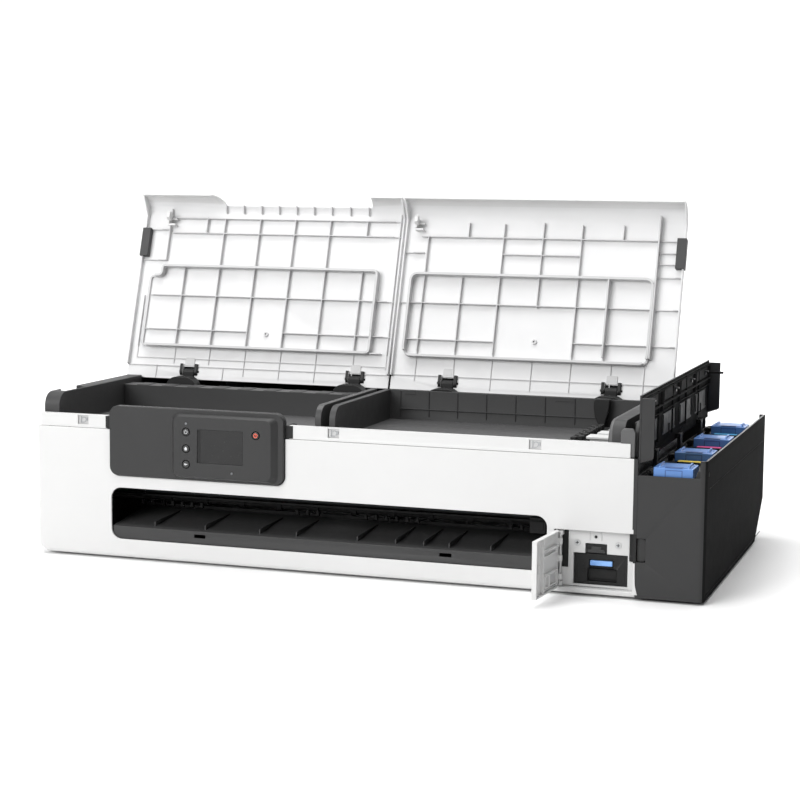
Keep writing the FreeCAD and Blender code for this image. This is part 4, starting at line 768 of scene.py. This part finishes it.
def build_door_details():
    """Rims, shelf, pocket box and snap on the inner face of the open door, with painted shade in
    the rim channel and the pocket.
    """
    rims = Shape(on_door)
    rims.block((69, -2.1, 15), (71, 2.6, 84))
    rims.block((6, -2.1, 15), (71, 0.4, 16.4))
    rims.block((88.5, -2.1, 14), (90, 1.2, 85))
    rims.block((13, -2.1, 67.2), (58, 3.4, 68.8))
    rims.make("door_inner_rims", WHITE, "maintenance_door", "white_plastic", 0.35)
    # painted shade: a pale grey band in the channel beside the rim
    shade_band = Shape(on_door)
    shade_band.block((79.5, -2.2, 15), (88.4, -1.5, 84))
    shade_band.make("door_rim_painted_shade", PALE, "maintenance_door", "white_plastic", 0.1)
    pocket = Shape(on_door)
    pocket.block((14, -2.1, 18), (62, 1.0, 20))
    pocket.block((14, -2.1, 35), (62, 2.8, 37))
    pocket.block((14, -2.1, 18), (16, 2.8, 37))
    pocket.block((46, -2.1, 18), (48, 2.8, 37))
    pocket.block((60, -2.1, 18), (62, 1.6, 37))
    pocket.make("door_pocket", WHITE, "maintenance_door", "white_plastic", 0.4)
    # painted shade: a pale grey patch on the floor of the pocket
    recess = Shape(on_door)
    recess.block((16.2, -2.2, 20.4), (45.8, -1.2, 34.8))
    recess.make("door_pocket_painted_shade", PALE, "maintenance_door", "white_plastic", 0.1)
    snap = Shape(on_door)
    snap.prism("z", 44, 56,
               [(90.8, -2.0), (93, -2.0), (92.6, 3.4), (90.4, 4.2), (89.6, 3.0), (90.8, 2.6)])
    snap.make("door_snap", PALE, "maintenance_door", "white_plastic", 0.3)


def build_bay_plate():
    """Fillers, shades, screws and the dark openings of the white plate behind the door."""
    fill = Shape()
    fill.tube("y", BAY_HOLE, 2.2, 3.1, 10.5, 11.6, 24)
    fill.block((776, 10.7, 13), (785.6, 12.2, 36))
    fill.block((768.6, 2.4, 8.4), (874, 11.6, 11.1))
    fill.block((785.8, 10.4, 36), (787.2, 11.4, 92))
    fill.make("bay_plate_fillers", WHITE, "chassis", "white_plastic", 0.2)
    lines = Shape()
    lines.block((813.4, 10.5, 74), (815.2, 11.4, 87))
    lines.block((828.6, 10.5, 74), (830.4, 11.4, 87))
    for screw in BAY_SCREWS:
        lines.tube("y", screw, 3.0, 4.5, 9.9, 11.0, 28)
    lines.make("bay_plate_lines", PALE, "chassis", "white_plastic", 0.15)
    crosses = Shape()
    for x, z in BAY_SCREWS:
        crosses.block((x - 2.2, 10.0, z - 0.5), (x + 2.2, 10.6, z + 0.5))
        crosses.block((x - 0.5, 10.0, z - 2.2), (x + 0.5, 10.6, z + 2.2))
    crosses.make("bay_screw_crosses", CHARCOAL, "chassis", "steel", 0.05)
    dark = Shape()
    dark.block((776.4, 12.2, 17), (784.6, 13.6, 85))
    dark.block((808.6, 12.6, 57.2), (836.4, 13.8, 69.4))
    dark.rod("y", BAY_HOLE, 2.0, 11.4, 13.6, 20)
    dark.make("bay_dark_backs", BLACK, "chassis", "black_plastic", 0.1)
    tongue = Shape()
    tongue.prism("y", 11.2, 13.0, [(811, 57.6), (834, 57.6), (834, 62), (829, 62), (829, 66),
                                   (816, 66), (816, 62), (811, 62)])
    tongue.make("bay_key_tongue", CHARCOAL, "chassis", "charcoal_plastic", 0.4)


def build_cartridge_lines():
    """Edge lines and short grip ribs on the front of the cartridge."""
    lines = Shape()
    lines.block((796.5, 13.7, 16.6), (797.3, 14.4, 54.4))
    lines.block((859.7, 13.7, 16.6), (860.5, 14.4, 54.4))
    lines.block((811.5, 15.8, 20.4), (849.5, 17.4, 21.2))
    for i in range(5):
        z = 30 + 4 * i
        lines.block((803, 13.75, z), (808, 14.4, z + 1.2))
        lines.block((853, 13.75, z), (857, 14.4, z + 1.2))
    lines.make("cartridge_face_lines", BLACK, "maintenance_cartridge", "black_plastic", 0.2)


def build_jamb():
    """White edge beside the dark housing, wider at its foot, and the side of the finger recess."""
    left, front, back = DOOR_CLEAR, -0.8, 3
    jamb = Shape()
    jamb.skin_rings([jamb.ring_at([(left, front, z), (right, front, z), (right, back, z),
                                   (left, back, z)])
                     for right, z in ((880.6, 7.6), (877.6, 20), (876.9, 34), (876.9, 49.4))])
    jamb.block((867.0, 9.1, 11.2), (874.4, 10.8, 49.4))
    jamb.make("bay_jamb", WHITE, "chassis", "white_plastic", 0.6)
    recess = Shape()
    recess.block((DOOR_CLEAR, -0.6, 50), (878, 1.0, 88))
    recess.block((867.2, 9.1, 50), (874.4, 10.8, 88))
    recess.make("finger_recess_side", BLACK, "chassis", "black_plastic", 0.5)


build_door_details()
build_bay_plate()
build_cartridge_lines()
build_jamb()


# ---------------------------------------------------------------- bays under the lids
def build_bays():
    """Moulded ribs and bosses on the bay floors and back walls."""
    left = Shape()
    for i in range(9):
        x = 52 + 42 * i
        left.block((x, 216.5, 225.6), (x + 20, 244, 226.8))
    for x in (33, 419):
        left.block((x, 20, 189.6), (x + 1.2, 210, 191.2))
    for x in (110, 230, 350):
        left.tube("z", (x, 120), 2.4, 4.6, 189.6, 192.4, 24)
    left.make("left_bay_details", CHARCOAL, "chassis", "charcoal_plastic", 0.4)
    right = Shape()
    for x0, x1 in ((477, 495), (706, 735)):
        right.prism("y", 242.4, 246.6, [(x0, 228), (x1, 228), (x1 - 2, 233.8), (x0 + 2, 233.8)])
    for i in range(8):
        x = 470 + 44 * i
        right.block((x, 241.6, 196), (x + 1.4, 243.4, 233))
    right.block((470, 240.6, 206), (772, 243.4, 207.4))
    right.make("right_bay_wall_ribs", CHARCOAL, "chassis", "charcoal_plastic", 0.3)


def build_right_wall_front():
    """The double curved arm at the right end of the right bay, down to the white strip."""
    # both arms take the painted-light copy of the charcoal
    arm = Shape()
    arm.prism("x", 833.6, 852.6, [(14.2, 189), (245, 189), (245, 233.4), (46, 233.4), (36, 231.5),
                                  (27, 226.6), (20.5, 219.5), (16, 211), (14.4, 203)])
    arm.make("end_arm_inner", LIT_ARM, "chassis", "charcoal_plastic", 3.4, (), 4, False)
    outer = Shape()
    outer.prism("y", 4.0, 7.4, [(853.4, 187.4), (872.6, 187.4), (872.6, 221), (870, 226),
                                (858, 226), (854.6, 224), (853.4, 220)])
    outer.make("end_arm_outer", LIT_ARM, "chassis", "charcoal_plastic", 1.6, (), 3, False)


def build_clamp_bars():
    """White bars and black keys on the block that holds the ink tubes."""
    bars = Shape()
    for x, y in ((797, 48), (803, 88), (810, 128), (818, 166)):
        bars.block((x, y, 203.2), (832.6, y + 26, 206.8))
        bars.block((x + 4, y + 4, 199.5), (832, y + 22, 203.6))
    bars.make("tube_clamp_bars", WHITE, "chassis", "white_plastic", 1.0)
    keys = Shape()
    for i in range(6):
        y = 46 + 24 * i
        keys.block((776, y, 199.6), (784, y + 14, 205.4))
        keys.block((786, y, 199.6), (793, y + 14, 207.0))
    keys.make("tube_clamp_keys", BLACK, "chassis", "black_plastic", 1.0)


def build_hinge_bracket():
    """Curved bracket from the right hand hinge down to the bay floor."""
    bracket = Shape()
    outline = [(789, 236), (788.5, 226), (786, 214), (783, 204), (781, 190), (774, 190),
               (772, 200), (767.5, 210), (765.6, 222), (765.5, 232), (768, 236)]
    bracket.prism("y", 228.4, 240, outline)
    bracket.make("hinge_bracket", BLACK, "chassis", "black_plastic", 1.4, (), 3)


def build_housing_seam():
    """Charcoal edge of the ink housing beside the white front."""
    trim = Shape()
    trim.block((872.6, -0.5, 94), (878.0, 1.0, 187.2))
    trim.block((DOOR_CLEAR, -0.3, 84.6), (878.0, 1.0, 94.4))
    trim.make("housing_front_edge", HOUSING, "chassis", "charcoal_plastic", 0.3)


build_right_wall_front()
build_clamp_bars()
build_hinge_bracket()
build_housing_seam()
build_bays()


# ---------------------------------------------------------------- ink station
COVER_FACE = 880.2         # inner face of the raised cover
COVER_ENDS = (5.8, 519.2)
CELL_PITCH = 126.6
CELL_BACK = COVER_FACE - 0.3
POCKET_BACK = COVER_FACE - 0.2
THIN_CELL = 881.2          # depth that clears the housing's side wall when the cover is shut
CAP_PITCH = 148


def build_ink_cover_details():
    """Cells, pockets and catches inside the raised ink cover."""
    light = Shape()
    for depth, low, high in ((THIN_CELL, 265.0, 266.2), (884.6, 243.2, 244.6),
                             (883.2, 233.6, 234.6)):
        light.block((CELL_BACK, COVER_ENDS[0], low), (depth, COVER_ENDS[1], high))
    for i in range(5):
        y = 6 + CELL_PITCH * i
        light.block((CELL_BACK, y, 234), (884.2, y + 2.0, 261.6))
        light.block((CELL_BACK, y, 261.2), (THIN_CELL, y + 2.0, 265.5))
    for i in range(4):
        y = 26 + CELL_PITCH * i
        light.prism("x", CELL_BACK, 881.6, rounded(y, 247.4, y + 88, 262.6, 3, 3))
    light.make("ink_cover_cells", CELL, "ink_cover", "charcoal_plastic", 0.35)
    deep = Shape()
    rims = Shape()
    for i in range(4):
        y = 18 + CELL_PITCH * i
        deep.prism("x", POCKET_BACK, 880.8, rounded(y, 200, y + 96, 229, 4, 3))
        rims.block((POCKET_BACK, y + 10, 229.4), (882.4, y + 86, 230.6))
        rims.block((POCKET_BACK, y + 3, 203), (882.0, y + 4.2, 228))
        rims.block((POCKET_BACK, y + 92, 203), (882.0, y + 93.2, 228))
        rims.block((POCKET_BACK, y + 46, 198), (882.2, y + 47.4, 212))
    deep.make("ink_cover_pockets", BLACK, "ink_cover", "charcoal_plastic", 0.1)
    rims.make("ink_cover_pocket_rims", CELL, "ink_cover", "charcoal_plastic", 0.25)
    catches = Shape()
    for y in (58, 226, 352, 470):
        catches.block((POCKET_BACK, y, 252), (883.8, y + 6, 258))
        catches.block((882.4, y, 256), (887.4, y + 6, 258))
    catches.make("ink_cover_catches", KEY, "ink_cover", "charcoal_plastic", 0.3)


def build_cap_details(node, y):
    """Raised frame and front arch on an ink cap that starts at y."""
    cap = Shape()
    cap.prism("z", 176.8, 177.8, rounded(901, y + 4, 945, y + 40, 5, 4))
    for x in (903, 940.6):
        cap.prism("x", x, x + 2.4,
                  [(y + 1.5, 176), (y + 38, 176), (y + 34, 180.5), (y + 10, 180.5)])
    cap.make(node + "_grip", BLUE, node, "cap_blue", 0.5)
    front, back = y - 0.15, y + 0.4
    arch = Shape()
    arch.block((912, front, 164.4), (913.2, back, 173.4))
    arch.block((933.8, front, 164.4), (935, back, 173.4))
    arch.block((912, front, 173.4), (935, back, 174.6))
    arch.block((898.4, front, 164.4), (948, back, 165.2))
    arch.block((912, y + 0.2, 177.0), (935, y + 8.5, 178.0))
    arch.make(node + "_arch", BLUE_LINE, node, "cap_blue", 0.1)


def build_colour_mark(node, look, y):
    """A plain coloured seat on the deck, in front of the cap that starts at y."""
    seat = Shape()
    seat.block((905, y - 21, 166.6), (939, y - 9, 167.4))
    seat.make(node + "_colour_mark", look, "chassis", "black_plastic", 0.15)


def build_housing_details():
    """Seams, top lip, latch post and finger cup lining on the ink housing."""
    lines = Shape()
    lines.block((967.3, 20, 9.4), (968.0, 505, 10.6))
    lines.block((967.3, 20, 150.0), (968.0, 505, 151.0))
    lines.make("housing_side_lines", BLACK, "chassis", "charcoal_plastic", 0.2)
    lip = Shape()
    lip.block((964.2, 6, 176.2), (967.6, 519, 177.6))
    lip.make("housing_top_lip", PANEL, "chassis", "charcoal_plastic", 0.5)
    post = Shape()
    post.prism("y", 6.4, 14,
               [(953, 162), (965, 162), (965, 171), (963, 175), (955, 175), (953, 171)])
    post.make("housing_latch_post", HOUSING, "chassis", "charcoal_plastic", 1.2)
    dot = Shape()
    dot.rod("x", (16, 170), 3.2, 967.4, 968.0, 24)
    dot.make("housing_latch_dot", LIGHT_GREY_AND_TOP_HIGHLIGHT, "chassis", "charcoal_plastic", 0.2)
    cup = Shape()
    cup.prism("y", 4.0, 7.0, rounded(878.2, 51.6, 889.6, 82.4, 4, 4))
    cup.make("finger_cup_lining", PANEL, "chassis", "charcoal_plastic", 0.5)


build_ink_cover_details()
for cap_index, (cap_node, seat_look) in enumerate(zip(CAPS, (None, YELLOW, MAGENTA, CYAN))):
    cap_start = 6 + CAP_PITCH * cap_index
    build_cap_details(cap_node, cap_start)
    if seat_look:
        build_colour_mark(cap_node, seat_look, cap_start)
build_housing_details()


# ---------------------------------------------------------------- back
def build_back():
    """Vent slots and seams on the back."""
    back = (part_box("rear_cover")[1].y - CORNER.y) / MM
    vents = Shape()
    for start, count in ((560, 22), (90, 14)):
        for i in range(count):
            x = start + 9 * i
            vents.prism("y", back - 0.6, back, rounded(x, 120, x + 3, 160, 1.4, 2))
    vents.make("rear_vents", BLACK, "chassis", "charcoal_plastic", 0.05)
    seams = Shape()
    for z in (186, 40):
        seams.block((30, back - 0.5, z), (860, back, z + 0.8))
    seams.make("rear_seams", BLACK, "chassis", "charcoal_plastic", 0.1)


build_back()


# ---------------------------------------------------------------- floor, light and camera
FLOOR_SIDES = (-9, 9)      # m
SWEEP = ((-9, 0), (3.5, 0), (4.3, 0.10), (4.9, 0.40), (5.2, 0.95), (5.3, 6.0))
WORLD_STRENGTH = 0.24


def build_floor():
    """A pale sweep that rises far behind the machine."""
    bm = bmesh.new()
    rows = [[bm.verts.new((x, y, z)) for x in FLOOR_SIDES] for y, z in SWEEP]
    for a, b in zip(rows, rows[1:]):
        bm.faces.new((a[0], a[1], b[1], b[0]))
    mesh = bpy.data.meshes.new("floor")
    bm.to_mesh(mesh)
    bm.free()
    for face in mesh.polygons:
        face.use_smooth = True
    obj = bpy.data.objects.new("floor", mesh)
    bpy.context.scene.collection.objects.link(obj)
    paint_look = finish_material("floor_paint", (0.90, 0.90, 0.90), 0.7, drift=0.006, bump=0.02,
                                 blotch=0.8, spec=0.2)
    mesh.materials.append(paint_look)


def add_area(name, place, aim, width, height, power):
    """A soft lamp at a place, turned to a point, in metres and watts."""
    lamp = bpy.data.lights.new(name, "AREA")
    lamp.shape = "RECTANGLE"
    lamp.size = width
    lamp.size_y = height
    lamp.energy = power
    obj = bpy.data.objects.new(name, lamp)
    obj.location = place
    obj.rotation_mode = "QUATERNION"
    obj.rotation_quaternion = (Vector(aim) - Vector(place)).to_track_quat("-Z", "Y")
    bpy.context.scene.collection.objects.link(obj)


def build_light():
    """Key light from the left front, a top light, and one over the floor at each end."""
    world = bpy.data.worlds.new("studio")
    bpy.context.scene.world = world
    world.use_nodes = True
    sky = world.node_tree.nodes["Background"]
    sky.inputs["Color"].default_value = (1.0, 1.0, 1.0, 1)
    sky.inputs["Strength"].default_value = WORLD_STRENGTH
    add_area("key", (-2.4, -4.8, 2.7), (0, 0, 0.2), 3.2, 2.6, 228)
    add_area("top", (-0.2, -0.2, 2.7), (0, 0, 0.2), 2.8, 2.2, 78)
    add_area("back", (0, 1.6, 3.4), (0, 5.2, 0.9), 5.0, 1.0, 230)
    add_area("far_front", (0, -3.2, 3.4), (0, -7.5, 0), 5.0, 1.0, 220)


CAMERA_SPOT = (1369, -2429, 553)       # mm, as in at()
CAMERA_TURN = (18.60, 6.76, 0.54)      # yaw to the left, pitch down and roll, in degrees
FOCAL_WIDTHS = 1918.0 / 800.0          # focal length over the width of the picture
SENSOR_WIDTH = 36.0


def build_camera():
    """Stands in front, to the right and a little above, and looks back along the machine."""
    yaw, pitch, roll = [math.radians(turn) for turn in CAMERA_TURN]
    level = math.cos(pitch)
    ahead = Vector((-math.sin(yaw) * level, math.cos(yaw) * level, -math.sin(pitch)))
    right = ahead.cross(Vector((0, 0, 1))).normalized()
    up = right.cross(ahead)
    turned_right = right * math.cos(roll) + up * math.sin(roll)
    turned_up = up * math.cos(roll) - right * math.sin(roll)
    camera = bpy.data.cameras.new("camera")
    camera.sensor_width = SENSOR_WIDTH
    camera.lens = FOCAL_WIDTHS * SENSOR_WIDTH
    camera.clip_start = 0.05
    camera.clip_end = 50.0
    obj = bpy.data.objects.new("camera", camera)
    turn = Matrix((turned_right, turned_up, -ahead)).transposed().to_4x4()
    obj.matrix_world = Matrix.Translation(at(*CAMERA_SPOT)) @ turn
    bpy.context.scene.collection.objects.link(obj)
    bpy.context.scene.camera = obj


build_floor()
build_light()
build_camera()
bpy.context.scene.view_settings.view_transform = "Standard"

bpy.context.view_layer.update()
